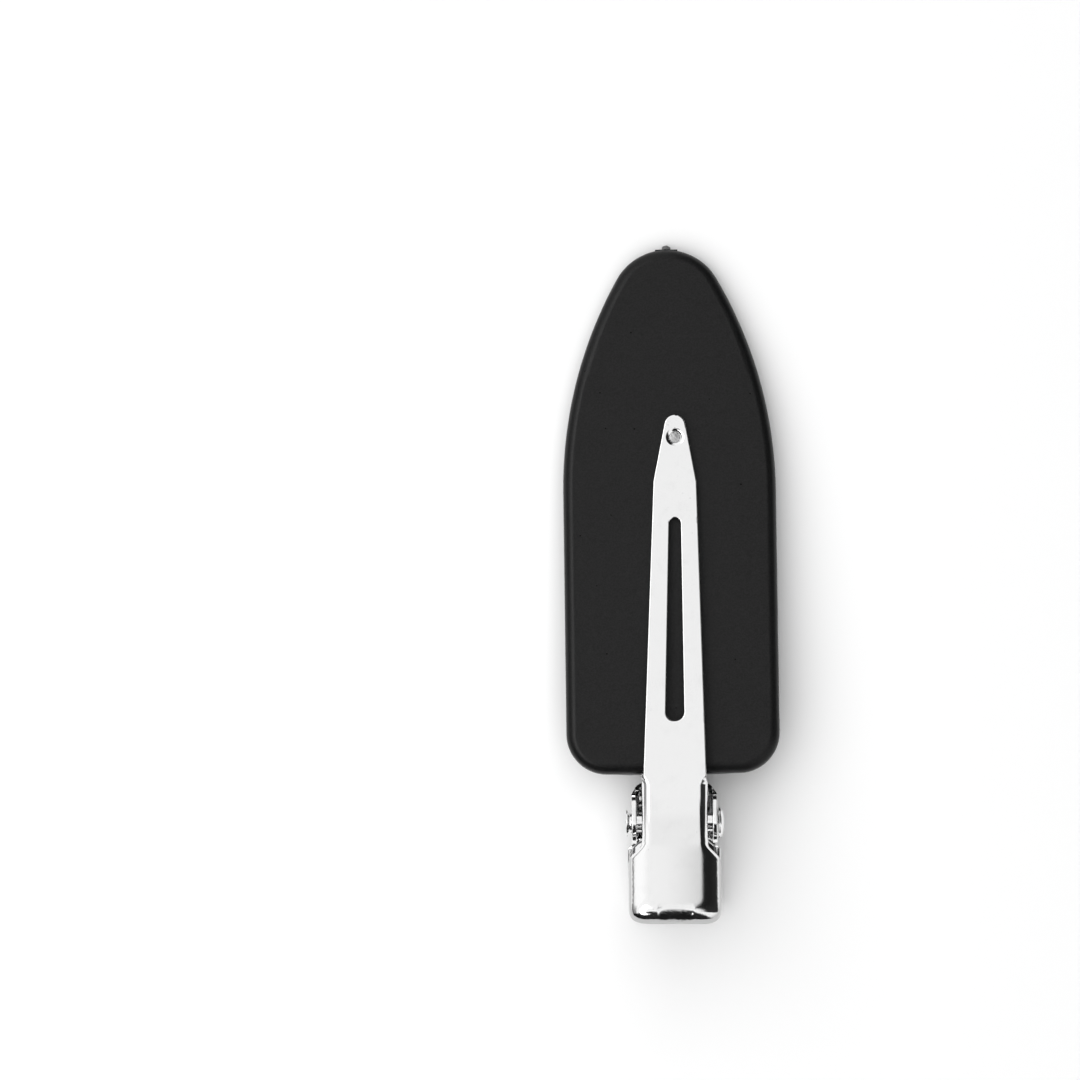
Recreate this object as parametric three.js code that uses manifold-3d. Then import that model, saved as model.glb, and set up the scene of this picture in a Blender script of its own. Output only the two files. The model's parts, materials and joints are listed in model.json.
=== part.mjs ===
// Hair setting clip: a flat moulded cover plate on one pressed steel arm, a slotted steel jaw on the other,
// a rivet through the ears of both arms and a torsion spring round the rivet.
// Millimetres, +Z up. The clip lies face down, on the upper arm's finger tab and the plate's nose, with the
// jaw on top and the nose towards +Y.
import * as THREE from 'three';
import { mergeVertices } from 'three/addons/utils/BufferGeometryUtils.js';
import Module from 'manifold-3d';

const wasm = await Module();
wasm.setup();

// Cover plate
const plateLength = 49.4;
const plateWidth = 20;
const plateThickness = 2;
const plateButtCornerRadius = 3.8;
const plateOgiveRadius = 40.8;
const plateNoseRadius = 5.4;
const plateInnerEdgeRadius = 0.95;
const plateOuterEdgeRadius = 0.35;
const gateNubWidth = 0.86;
const gateNubLength = 0.47;
const gateNubThickness = 1;

// Pocket for the tongue, in a bump on the plate's outer face
const pocketFloor = 1.55;
const pocketRoof = 1.4;
const pocketClearance = 0.12;
const bumpTopWidth = 7.6;
const bumpTopLength = 12.8;
const bumpSlopeWidth = 2;
const bumpCornerRadius = 1.7;

// Sheet steel and the place of the pivot axis
const sheet = 0.45;
const pivotToButt = 4.6;
const pivotDepth = 1;

// Ears of both arms
const lowerEarWidth = 6.15;
const earGap = 0.475;
const earMargin = 1.15;
const earBendRadius = 0.75;

// Upper arm: finger tab and ears in one plane, then a joggle down to the tongue
const upperTiltDegrees = 20;
const upperWebHeight = 3.15;
const upperTabWidth = 8.7;
const upperTabReach = 9.85;
const upperWaistWidth = 6.5;
const upperWaistAt = 2.15;
const upperShoulderLength = 2.1;
const upperEarFront = 3.2;
const upperEarChamfer = 1.2;
const tongueWidth = 5.8;
const tongueInsertion = 11;
const joggleLead = 0.1;

// Lower arm: finger tab bent up from the plane of the jaw
const lowerTiltDegrees = 19;
const lowerWebHeight = 2.9;
const lowerBendRadius = 12;
const lowerTabWidth = 8.7;
const lowerTabReach = 11.1;
const lowerWaistWidth = 6.2;
const lowerWaistAt = 2.5;
const lowerShoulderLength = 2;
const lowerEarFront = 3.45;

// Finger tabs, both arms
const tabFlangeDepth = 1.6;
const tabSideBendRadius = 1.5;
const tabEndBendRadius = 1;
const tabCornerRadius = 1.7;
const tabNeckOverlap = 0.1;

// Jaw
const jawReach = 38.15;
const jawRootWidth = 5.94;
const jawKinkAt = 31.8;
const jawKinkWidth = 4.05;
const jawNoseRadius = 1;
const jawGap = 0.1;
const slotRootAt = 9.3;
const slotTipAt = 28.4;
const slotRootWidth = 1.72;
const slotTipWidth = 1.08;
const dimpleSetback = 2.1;
const dimpleRadius = 0.68;
const dimpleDepth = 0.25;
const dimpleRecess = 0.2;
const dimpleShear = 0.05;

// Rivet
const pinRadius = 0.9;
const pinClearance = 0.1;
const pinSeatGap = 0.05;
const pinHeadRadius = 1.47;
const pinHeadHeight = 0.68;
const pinHeadRim = 0.22;
const pinTailRadius = 1.27;
const pinTailHeight = 0.5;
const pinTailEdge = 0.15;
const pinHollowRadius = 0.6;
const pinHollowDepth = 0.4;

// Torsion spring
const wireDiameter = 0.6;
const coilClearance = 0.4;
const coilSideGap = 0.25;
const coilWholeTurns = 3;
const upperLegLength = 6.6;
const lowerLegLength = 7.6;
const legGap = 0.1;

// Facets
const arcSteps = 5;
const bendSteps = 3;
const roundSides = 24;
const wireSides = 5;
const wireStepsPerTurn = 8;
const cutOverlap = 1;
const weldDistance = 1e-4;

// Sizes that follow from the ones above
const innerFace = pivotDepth;
const outerFace = innerFace - plateThickness;
const pocketHeight = sheet + 2 * pocketClearance;
const bumpTop = innerFace - pocketFloor - pocketHeight - pocketRoof;
const tongueOuter = innerFace - pocketFloor - pocketClearance - sheet;
const plateNose = pivotToButt + plateLength;
const upperEarWidth = lowerEarWidth + 2 * (earGap + sheet);
const pinHoleRadius = pinRadius + pinClearance;
const earRadius = pinHoleRadius + earMargin;
const earInnerBendRadius = Math.max(earBendRadius - sheet, 0);
const coilRadius = pinRadius + coilClearance + wireDiameter / 2;
const upperTilt = THREE.MathUtils.degToRad(upperTiltDegrees);
const lowerTilt = THREE.MathUtils.degToRad(lowerTiltDegrees);

/** The turn that carries a point `along` a line and `above` it to the height `target`. */
function turnToReach(above, along, target) {
  return Math.asin(target / Math.hypot(above, along)) - Math.atan2(above, along);
}

// The jaw slopes down until its dimple rests on the plate
const dimpleAt = jawReach - dimpleSetback;
const dimpleBottom = lowerWebHeight - sheet - dimpleDepth;
const jawSlope = -turnToReach(dimpleBottom, dimpleAt, innerFace + jawGap);

// Joining and cutting

/** A solid for joining and cutting, from a closed geometry. */
function solidOf(geometry) {
  geometry.deleteAttribute('normal');
  geometry.deleteAttribute('uv');
  const welded = mergeVertices(geometry, weldDistance);
  const vertProperties = new Float32Array(welded.attributes.position.array);
  const triVerts = new Uint32Array(welded.index.array);
  return new wasm.Manifold(new wasm.Mesh({ numProp: 3, vertProperties, triVerts }));
}

/** The geometry of a finished solid. */
function geometryOf(solid) {
  const { vertProperties, triVerts } = solid.getMesh();
  const geometry = new THREE.BufferGeometry();
  geometry.setAttribute('position', new THREE.BufferAttribute(vertProperties, 3));
  geometry.setIndex(new THREE.BufferAttribute(triVerts, 1));
  return geometry;
}

/** Extrudes a shape from `low` to `high`, keeping its outline, with both end edges rounded by `rounding`. */
function prism(shape, low, high, rounding = 0) {
  const geometry = new THREE.ExtrudeGeometry(shape, {
    depth: high - low - 2 * rounding,
    curveSegments: arcSteps,
    bevelEnabled: rounding > 0,
    bevelThickness: rounding,
    bevelSize: rounding,
    bevelOffset: -rounding,
    bevelSegments: bendSteps,
  });
  return geometry.translate(0, 0, low + rounding);
}

/** A plan outline (X, Y) carried through the heights `low` to `high`. */
function planSolid(shape, low, high, rounding = 0) {
  return solidOf(prism(shape, low, high, rounding));
}

const sideBasis = new THREE.Matrix4().makeBasis(
  new THREE.Vector3(0, 1, 0),
  new THREE.Vector3(0, 0, 1),
  new THREE.Vector3(1, 0, 0),
);

/** A side outline (Y, Z) carried across the clip to `halfWidth` on both sides. */
function sideSolid(shape, halfWidth, rounding = 0) {
  return solidOf(prism(shape, -halfWidth, halfWidth, rounding).applyMatrix4(sideBasis));
}

const crossBasis = new THREE.Matrix4().makeBasis(
  new THREE.Vector3(-1, 0, 0),
  new THREE.Vector3(0, 0, 1),
  new THREE.Vector3(0, 1, 0),
);

/** A cross-section (X, Z), alike on both sides, carried along the clip from `rear` to `front`. */
function crossSolid(shape, rear, front) {
  return solidOf(prism(shape, rear, front).applyMatrix4(crossBasis));
}

/** Turns a solid about the pivot axis. */
function turned(solid, angle) {
  return solid.rotate([THREE.MathUtils.radToDeg(angle), 0, 0]);
}

/** A polygon from [first, second] pairs. */
function polygon(points) {
  return new THREE.Shape(points.map(([first, second]) => new THREE.Vector2(first, second)));
}

// Cover plate

/** The bullet outline of the plate: straight sides, round butt corners, two long arcs and a round nose. */
function plateOutline() {
  const half = plateWidth / 2;
  const corner = plateButtCornerRadius;
  const noseRise = plateOgiveRadius - plateNoseRadius;
  const sideInset = plateOgiveRadius - half;
  const noseCentre = plateNose - plateNoseRadius;
  const ogiveStart = noseCentre - Math.sqrt(noseRise ** 2 - sideInset ** 2);
  const ogiveTurn = Math.atan2(noseCentre - ogiveStart, sideInset);
  const shape = new THREE.Shape();
  shape.moveTo(-half + corner, pivotToButt);
  shape.lineTo(half - corner, pivotToButt);
  shape.absarc(half - corner, pivotToButt + corner, corner, -Math.PI / 2, 0, false);
  shape.absarc(-sideInset, ogiveStart, plateOgiveRadius, 0, ogiveTurn, false);
  shape.absarc(0, noseCentre, plateNoseRadius, ogiveTurn, Math.PI - ogiveTurn, false);
  shape.absarc(sideInset, ogiveStart, plateOgiveRadius, Math.PI - ogiveTurn, Math.PI, false);
  shape.absarc(-half + corner, pivotToButt + corner, corner, Math.PI, 1.5 * Math.PI, false);
  return shape;
}

/** The bump over the pocket: a flat top with sloping sides, open at the butt end. */
function pocketBump() {
  const half = bumpTopWidth / 2 + bumpSlopeWidth;
  const end = pivotToButt + bumpTopLength + bumpSlopeWidth;
  const corner = bumpCornerRadius + bumpSlopeWidth;
  const rear = pivotToButt - bumpSlopeWidth - cutOverlap;
  const shape = new THREE.Shape();
  shape.moveTo(-half, rear);
  shape.lineTo(half, rear);
  shape.absarc(half - corner, end - corner, corner, 0, Math.PI / 2, false);
  shape.absarc(-half + corner, end - corner, corner, Math.PI / 2, Math.PI, false);
  const height = outerFace - bumpTop;
  const geometry = new THREE.ExtrudeGeometry(shape, {
    depth: plateThickness / 2,
    curveSegments: arcSteps,
    bevelThickness: height,
    bevelSize: bumpSlopeWidth,
    bevelOffset: -bumpSlopeWidth,
    bevelSegments: 1,
  });
  const bump = solidOf(geometry.translate(0, 0, outerFace));
  const keep = polygon([
    [-plateWidth, pivotToButt],
    [plateWidth, pivotToButt],
    [plateWidth, plateNose],
    [-plateWidth, plateNose],
  ]);
  return bump.intersect(planSolid(keep, bumpTop - cutOverlap, outerFace + plateThickness / 2));
}

function coverPlate() {
  const outline = plateOutline();
  const jawSide = planSolid(outline, outerFace - plateThickness, innerFace, plateInnerEdgeRadius);
  const outerSide = planSolid(outline, outerFace, innerFace + plateThickness, plateOuterEdgeRadius);
  const slab = jawSide.intersect(outerSide);
  const nub = polygon([
    [-gateNubWidth / 2, plateNose - plateNoseRadius / 2],
    [gateNubWidth / 2, plateNose - plateNoseRadius / 2],
    [gateNubWidth / 2, plateNose + gateNubLength],
    [-gateNubWidth / 2, plateNose + gateNubLength],
  ]);
  const nubMiddle = outerFace + (plateThickness - plateInnerEdgeRadius + plateOuterEdgeRadius) / 2;
  const gateNub = planSolid(nub, nubMiddle - gateNubThickness / 2, nubMiddle + gateNubThickness / 2);
  const mouth = tongueWidth / 2 + pocketClearance;
  const pocket = polygon([
    [-mouth, pivotToButt - cutOverlap],
    [mouth, pivotToButt - cutOverlap],
    [mouth, pivotToButt + tongueInsertion + pocketClearance],
    [-mouth, pivotToButt + tongueInsertion + pocketClearance],
  ]);
  const pocketTop = innerFace - pocketFloor;
  const slot = planSolid(pocket, pocketTop - pocketHeight, pocketTop);
  return slab.add(pocketBump()).add(gateNub).subtract(slot);
}

// Pressed arms. Each is drawn with its outside up (+Z), its tab to the rear and the pivot at the origin.

/** The plan outline of a finger tab: round end corners and a double curve in to the waist and past it. */
function tabOutline(tab, inset) {
  const half = tab.width / 2 - inset;
  const waist = tab.waistWidth / 2 - inset;
  const corner = tabCornerRadius - inset;
  const end = -tab.reach + inset;
  const waistAt = -tab.waistAt;
  const shoulder = waistAt - tab.shoulderLength;
  const middle = (waistAt + shoulder) / 2;
  const front = waistAt + 2 * cutOverlap;
  const shape = new THREE.Shape();
  shape.moveTo(-half + corner, end);
  shape.lineTo(half - corner, end);
  shape.absarc(half - corner, end + corner, corner, -Math.PI / 2, 0, false);
  shape.lineTo(half, shoulder);
  shape.bezierCurveTo(half, middle, waist, middle, waist, waistAt);
  shape.lineTo(waist, front);
  shape.lineTo(-waist, front);
  shape.lineTo(-waist, waistAt);
  shape.bezierCurveTo(-waist, middle, -half, middle, -half, shoulder);
  shape.absarc(-half + corner, end + corner, corner, Math.PI, 1.5 * Math.PI, false);
  return shape;
}

/** The block inside a finger tab's outline, standing `inset` in from its outside and reaching to `front`. */
function tabBlock(tab, inset, bottom, front) {
  const half = tab.width / 2 - inset;
  const top = tab.height - inset;
  const side = tabSideBendRadius - inset;
  const endBend = tabEndBendRadius - inset;
  const end = -tab.reach + inset;
  const cross = new THREE.Shape();
  cross.moveTo(-half, bottom);
  cross.lineTo(half, bottom);
  cross.absarc(half - side, top - side, side, 0, Math.PI / 2, false);
  cross.absarc(-half + side, top - side, side, Math.PI / 2, Math.PI, false);
  const profile = new THREE.Shape();
  profile.moveTo(end, bottom);
  profile.lineTo(front, bottom);
  profile.lineTo(front, top);
  profile.absarc(end + endBend, top - endBend, endBend, Math.PI / 2, Math.PI, false);
  return crossSolid(cross, end - cutOverlap, front)
    .intersect(sideSolid(profile, tab.width))
    .intersect(planSolid(tabOutline(tab, inset), bottom, tab.height + cutOverlap));
}

/** A pressed finger tab: a shallow pan with flanges along its sides and round its end, open at the waist. */
function fingerTab(tab, earWidth) {
  const waistAt = -tab.waistAt;
  const bottom = tab.height - tabFlangeDepth;
  const outside = tabBlock(tab, 0, bottom, waistAt + tabNeckOverlap);
  const inside = tabBlock(tab, sheet, bottom - cutOverlap, waistAt + cutOverlap);
  const flat = Math.min(tab.width / 2 - tabSideBendRadius, earWidth / 2 - earBendRadius);
  const neck = polygon([
    [-flat, waistAt - sheet],
    [flat, waistAt - sheet],
    [flat, waistAt + sheet],
    [-flat, waistAt + sheet],
  ]);
  return outside.subtract(inside).add(planSolid(neck, tab.height - sheet, tab.height));
}

/** The point where the tangent from `point` meets the ear's round end, on the side given by `sign`. */
function earTangent([along, up], sign) {
  const turn = Math.acos(earRadius / Math.hypot(along, up));
  return Math.atan2(up, along) - sign * turn;
}

/**
 * A channel with two ears: `outer` and `inner` are its web's two faces as [y, z] points from rear to front.
 */
function earChannel(outer, inner, width) {
  const [rear] = outer;
  const rearLow = inner[0];
  const frontLow = inner[inner.length - 1];
  const skirt = -earRadius - cutOverlap;
  const spread = earBendRadius + cutOverlap;
  const under = (line, reach) => {
    const first = line[0];
    const last = line[line.length - 1];
    const beforeFirst = extended(line[1], first, reach);
    const afterLast = extended(line[line.length - 2], last, reach);
    const foot = [[afterLast[0], skirt - reach], [beforeFirst[0], skirt - reach]];
    return polygon([beforeFirst, ...line, afterLast, ...foot].reverse());
  };
  const outside = sideSolid(under(outer, spread), width / 2, earBendRadius);
  const inside = sideSolid(under(inner, 2 * spread), width / 2 - sheet, earInnerBendRadius);
  const ears = new THREE.Shape();
  ears.moveTo(...rear);
  ears.lineTo(...rearLow);
  ears.absarc(0, 0, earRadius, earTangent(rearLow, -1), earTangent(frontLow, 1) + 2 * Math.PI, false);
  ears.lineTo(...frontLow);
  [...outer].reverse().forEach((point) => ears.lineTo(...point));
  return outside.subtract(inside).intersect(sideSolid(ears, width));
}

/** The point `distance` beyond `to` on the line from `from`. */
function extended(from, to, distance) {
  const length = Math.hypot(to[0] - from[0], to[1] - from[1]);
  return to.map((value, axis) => value + ((value - from[axis]) * distance) / length);
}

/** A point given along and above a line through the pivot that is turned by `angle`. */
function onLine(along, above, angle) {
  const cos = Math.cos(angle);
  const sin = Math.sin(angle);
  return [along * cos - above * sin, along * sin + above * cos];
}

/** The hole for the rivet through all ears. */
function pinHole() {
  const hole = new THREE.CylinderGeometry(pinHoleRadius, pinHoleRadius, 2 * plateWidth, roundSides);
  return solidOf(hole.rotateZ(Math.PI / 2));
}

function upperArm() {
  const tab = {
    width: upperTabWidth,
    waistWidth: upperWaistWidth,
    reach: upperTabReach,
    waistAt: upperWaistAt,
    shoulderLength: upperShoulderLength,
    height: upperWebHeight,
  };
  const web = (above) => [[-upperWaistAt, above], [0, above], [upperEarFront, above]];
  const half = upperEarWidth / 2;
  const chamfered = polygon([
    [-half, -upperTabReach],
    [half, -upperTabReach],
    [half, upperEarFront - upperEarChamfer],
    [tongueWidth / 2, upperEarFront],
    [-tongueWidth / 2, upperEarFront],
    [-half, upperEarFront - upperEarChamfer],
  ]);
  const ears = earChannel(web(upperWebHeight), web(upperWebHeight - sheet), upperEarWidth)
    .intersect(planSolid(chamfered, -upperTabReach, upperTabReach));
  const handle = turned(fingerTab(tab, upperEarWidth).add(ears), -upperTilt);
  const lineFace = (above) => {
    const start = onLine(0, upperWebHeight - above, -upperTilt);
    const bend = onLine(upperEarFront, upperWebHeight - above, -upperTilt);
    const seat = [pivotToButt - joggleLead, -tongueOuter - above];
    const end = [pivotToButt + tongueInsertion, -tongueOuter - above];
    return [start, bend, seat, end];
  };
  const strip = polygon([...lineFace(sheet), ...lineFace(0).reverse()]);
  const arm = handle.add(sideSolid(strip, tongueWidth / 2)).subtract(pinHole());
  return arm.rotate([0, 180, 0]);
}

/** The plan outline of the jaw, from inside the ears to its round nose, with the long slot. */
function jawOutline(root, rootWidth) {
  const noseCentre = jawReach - jawNoseRadius;
  const kink = [jawKinkWidth / 2, jawKinkAt];
  const toNose = Math.atan2(kink[1] - noseCentre, kink[0]);
  const noseTurn = toNose + Math.acos(jawNoseRadius / Math.hypot(kink[0], kink[1] - noseCentre));
  const half = jawRootWidth / 2;
  const shape = new THREE.Shape();
  shape.moveTo(-rootWidth / 2, root);
  shape.lineTo(rootWidth / 2, root);
  shape.lineTo(rootWidth / 2, lowerEarFront);
  shape.lineTo(half, lowerEarFront);
  shape.lineTo(...kink);
  shape.absarc(0, noseCentre, jawNoseRadius, noseTurn, Math.PI - noseTurn, false);
  shape.lineTo(-kink[0], kink[1]);
  shape.lineTo(-half, lowerEarFront);
  shape.lineTo(-rootWidth / 2, lowerEarFront);
  const slot = new THREE.Path();
  slot.absarc(0, slotRootAt + slotRootWidth / 2, slotRootWidth / 2, Math.PI, 2 * Math.PI, false);
  slot.absarc(0, slotTipAt - slotTipWidth / 2, slotTipWidth / 2, 0, Math.PI, false);
  shape.holes.push(slot);
  return shape;
}

/** A short round post on the jaw's centre line, at the dimple. */
function dimplePost(radius, low, high) {
  const post = new THREE.CylinderGeometry(radius, radius, high - low, roundSides);
  return solidOf(post.rotateX(Math.PI / 2).translate(0, dimpleAt, (low + high) / 2));
}

function lowerArm() {
  const tab = {
    width: lowerTabWidth,
    waistWidth: lowerWaistWidth,
    reach: lowerTabReach,
    waistAt: lowerWaistAt,
    shoulderLength: lowerShoulderLength,
    height: lowerWebHeight,
  };
  const halfBend = (lowerTilt - jawSlope) / 2;
  const toCentre = (lowerTilt + jawSlope) / 2;
  const centreReach = (lowerWebHeight + lowerBendRadius) / Math.cos(halfBend);
  const centre = [centreReach * Math.sin(toCentre), centreReach * Math.cos(toCentre)];
  const face = (inset) => {
    const points = [onLine(-lowerWaistAt, lowerWebHeight - inset, -lowerTilt)];
    for (let step = 0; step <= arcSteps; step += 1) {
      const angle = lowerTilt - ((lowerTilt - jawSlope) * step) / arcSteps;
      const radius = lowerBendRadius + inset;
      points.push([centre[0] - radius * Math.sin(angle), centre[1] - radius * Math.cos(angle)]);
    }
    points.push(onLine(lowerEarFront, lowerWebHeight - inset, -jawSlope));
    return points;
  };
  const ears = earChannel(face(0), face(sheet), lowerEarWidth);
  const rootWidth = lowerEarWidth - 2 * earBendRadius;
  const underside = lowerWebHeight - sheet;
  const nubTop = underside + (sheet - dimpleRecess) / 2;
  const jaw = planSolid(jawOutline(lowerEarFront - sheet, rootWidth), underside, lowerWebHeight)
    .add(dimplePost(dimpleRadius - dimpleShear, underside - dimpleDepth, nubTop))
    .subtract(dimplePost(dimpleRadius, lowerWebHeight - dimpleRecess, lowerWebHeight + cutOverlap));
  return turned(fingerTab(tab, lowerEarWidth), -lowerTilt)
    .add(ears)
    .add(turned(jaw, -jawSlope))
    .subtract(pinHole());
}

// Rivet

function pivotPin() {
  const seat = upperEarWidth / 2 + pinSeatGap;
  const tail = -seat - pinTailHeight;
  const profile = [
    [0, tail + pinHollowDepth],
    [pinHollowRadius, tail + pinHollowDepth],
    [pinHollowRadius, tail],
    [pinTailRadius - pinTailEdge, tail],
    [pinTailRadius, tail + pinTailEdge],
    [pinTailRadius, -seat],
    [pinRadius, -seat],
    [pinRadius, seat],
    [pinHeadRadius, seat],
  ];
  for (let step = 0; step <= arcSteps; step += 1) {
    const angle = ((Math.PI / 2) * step) / arcSteps;
    const dome = (pinHeadHeight - pinHeadRim) * Math.sin(angle);
    const radius = step === arcSteps ? 0 : pinHeadRadius * Math.cos(angle);
    profile.push([radius, seat + pinHeadRim + dome]);
  }
  const points = profile.map(([radius, along]) => new THREE.Vector2(radius, along));
  return new THREE.LatheGeometry(points, roundSides).rotateZ(-Math.PI / 2);
}

// Torsion spring

/** The wire's centre line: a straight leg, the coil round the rivet, and a second straight leg. */
class SpringPath extends THREE.Curve {
  constructor() {
    super();
    const reach = (web, tilt, length) => {
      const room = web - sheet - wireDiameter / 2 - legGap;
      return tilt + turnToReach(coilRadius, length, room);
    };
    const upperLegTurn = reach(upperWebHeight, upperTilt, upperLegLength);
    const lowerLegTurn = reach(lowerWebHeight, lowerTilt, lowerLegLength);
    this.start = upperLegTurn - Math.PI / 2;
    this.end = 2 * Math.PI * coilWholeTurns + Math.PI / 2 - lowerLegTurn;
    this.halfLength = lowerEarWidth / 2 - sheet - coilSideGap - wireDiameter / 2;
    this.rise = (2 * this.halfLength) / (this.end - this.start);
    this.coilLength = (this.end - this.start) * Math.hypot(coilRadius, this.rise);
    this.length = upperLegLength + this.coilLength + lowerLegLength;
  }

  getPoint(share, target = new THREE.Vector3()) {
    const run = share * this.length - upperLegLength;
    const onCoil = THREE.MathUtils.clamp(run, 0, this.coilLength);
    const angle = this.start + ((this.end - this.start) * onCoil) / this.coilLength;
    const leg = run - onCoil;
    const across = (angle - this.start) * this.rise - this.halfLength;
    const along = coilRadius * Math.cos(angle) - leg * Math.sin(angle);
    const up = coilRadius * Math.sin(angle) + leg * Math.cos(angle);
    return target.set(across, along, up);
  }
}

/** The least clear gap between stretches of wire that lie more than half a turn apart along it. */
function leastGap(path) {
  const apart = Math.PI * coilRadius;
  const points = path.getSpacedPoints(Math.ceil((path.length / apart) * roundSides));
  const spacing = path.length / (points.length - 1);
  let least = Infinity;
  points.forEach((point, index) => {
    for (let other = index + Math.ceil(apart / spacing); other < points.length; other += 1) {
      least = Math.min(least, point.distanceTo(points[other]) - wireDiameter);
    }
  });
  return least;
}

function torsionSpring() {
  const path = new SpringPath();
  const stepLength = (2 * Math.PI * coilRadius) / wireStepsPerTurn;
  const corners = [];
  for (let side = 0; side < wireSides; side += 1) {
    const angle = (2 * Math.PI * side) / wireSides;
    corners.push([(wireDiameter / 2) * Math.cos(angle), (wireDiameter / 2) * Math.sin(angle)]);
  }
  console.log(`torsion_spring least gap to itself: ${leastGap(path).toFixed(3)} mm`);
  return new THREE.ExtrudeGeometry(polygon(corners), {
    steps: Math.round(path.length / stepLength),
    extrudePath: path,
    bevelEnabled: false,
  });
}

// Assembly

const blackPlastic = { color: 0x1b1b1c, roughness: 0.6, metalness: 0 };
const brightSteel = { color: 0xd9dadc, roughness: 0.16, metalness: 1 };
const springSteel = { color: 0xb9bbbf, roughness: 0.28, metalness: 1 };

function piece(name, geometry, finish) {
  const mesh = new THREE.Mesh(geometry, new THREE.MeshStandardMaterial(finish));
  mesh.name = name;
  return mesh;
}

const clip = new THREE.Group();
clip.add(
  piece('cover_plate', geometryOf(coverPlate()), blackPlastic),
  piece('upper_arm', geometryOf(upperArm()), brightSteel),
  piece('lower_arm', geometryOf(lowerArm()), brightSteel),
  piece('pivot_pin', pivotPin(), brightSteel),
  piece('torsion_spring', torsionSpring(), springSteel),
);

/** The turn that lays two round edges, given as [y, z, radius], on one level floor. */
function layingTurn([tabAlong, tabUp, tabRound], [noseAlong, noseUp, noseRound]) {
  const along = noseAlong - tabAlong;
  const up = noseUp - tabUp;
  return -Math.atan2(up, along) - Math.asin((tabRound - noseRound) / Math.hypot(along, up));
}

const tabEdge = onLine(-upperTabReach + tabEndBendRadius, -upperWebHeight + tabEndBendRadius, upperTilt);
const noseEdge = [plateNose - plateOuterEdgeRadius, outerFace + plateOuterEdgeRadius];
clip.rotation.x = layingTurn([...tabEdge, tabEndBendRadius], [...noseEdge, plateOuterEdgeRadius]);

// The origin is the middle of the floor under the clip
const part = new THREE.Group();
part.add(clip);
const box = new THREE.Box3().setFromObject(part, true);
const middle = box.getCenter(new THREE.Vector3());
clip.position.set(-middle.x, -middle.y, -box.min.z);

export default part;
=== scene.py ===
"""The looks of a flat hair setting clip: two plated pressings, a moulded plate, a rivet and a spring.

Every size is in millimetres in the clip's own frame: the pivot is the origin, +Y runs to the plate's
nose, +Z is the jaw's side and +X the side of the rivet's domed head. ClipFrame carries the finished
meshes to the row frame in metres.
"""

import json
import logging
import math
from collections.abc import Sequence
from dataclasses import dataclass, field, replace
from enum import Enum
from functools import cached_property
from typing import Any

import bmesh
import bpy
import numpy as np
from mathutils import Matrix, Vector

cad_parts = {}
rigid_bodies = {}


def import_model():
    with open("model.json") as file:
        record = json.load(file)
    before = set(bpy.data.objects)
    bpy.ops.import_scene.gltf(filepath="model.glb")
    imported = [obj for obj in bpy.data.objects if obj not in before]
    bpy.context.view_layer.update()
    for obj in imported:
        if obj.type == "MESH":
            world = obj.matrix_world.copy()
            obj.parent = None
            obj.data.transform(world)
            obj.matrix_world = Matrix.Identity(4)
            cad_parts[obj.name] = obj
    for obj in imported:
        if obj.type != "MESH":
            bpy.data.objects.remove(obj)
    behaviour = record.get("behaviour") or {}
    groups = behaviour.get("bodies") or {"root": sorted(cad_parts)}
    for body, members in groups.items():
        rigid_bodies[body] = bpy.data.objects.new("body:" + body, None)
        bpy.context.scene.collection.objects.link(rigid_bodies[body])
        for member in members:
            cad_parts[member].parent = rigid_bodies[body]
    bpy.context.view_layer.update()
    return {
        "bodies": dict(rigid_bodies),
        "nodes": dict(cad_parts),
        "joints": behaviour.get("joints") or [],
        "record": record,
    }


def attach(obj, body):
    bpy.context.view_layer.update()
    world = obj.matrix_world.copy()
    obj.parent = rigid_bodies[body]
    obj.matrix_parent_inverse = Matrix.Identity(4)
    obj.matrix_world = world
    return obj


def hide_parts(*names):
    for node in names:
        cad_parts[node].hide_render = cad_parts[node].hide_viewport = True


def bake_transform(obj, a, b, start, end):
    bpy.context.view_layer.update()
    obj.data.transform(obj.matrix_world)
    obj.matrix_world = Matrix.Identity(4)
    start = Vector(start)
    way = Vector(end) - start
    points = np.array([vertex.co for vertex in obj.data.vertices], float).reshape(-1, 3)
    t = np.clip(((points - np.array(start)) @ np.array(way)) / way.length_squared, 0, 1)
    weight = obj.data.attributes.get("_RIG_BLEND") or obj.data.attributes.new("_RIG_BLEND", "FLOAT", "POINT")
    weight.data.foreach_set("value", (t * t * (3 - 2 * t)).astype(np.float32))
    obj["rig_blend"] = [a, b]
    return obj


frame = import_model()
log = logging.getLogger("setting_clip")

MM = 0.001
WELD = 1e-4
TINY = 1e-9
QUARTER = math.pi / 2.0
EDGE_STEPS = 4
REACH_TRIES = 6
UNDER = "under"
STRAIN = "strain"

Pair = tuple[float, float]
Triple = tuple[float, float, float]


class Body(Enum):
    """The bodies of the part that pieces ride on."""

    COVER = "cover"
    JAW = "jaw"


class Join(Enum):
    """How one solid changes another."""

    ADD = "UNION"
    CUT = "DIFFERENCE"


def eased(share: float) -> float:
    """A share from 0 to 1, slowed at both ends."""
    share = min(max(share, 0.0), 1.0)
    return share * share * (3.0 - 2.0 * share)


def turn_to_reach(above: float, along: float, target: float) -> float:
    """The turn about the pivot that carries a point to a height.

    Args:
        above: The point's height over a line through the pivot.
        along: Its distance along that line.
        target: The height it has to reach.

    Returns:
        The angle in radians.
    """
    return math.asin(target / math.hypot(above, along)) - math.atan2(above, along)


def on_line(along: float, above: float, angle: float) -> Pair:
    """A point (y, z) given along and above a line through the pivot that is turned by an angle."""
    cos, sin = math.cos(angle), math.sin(angle)
    return along * cos - above * sin, along * sin + above * cos


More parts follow.
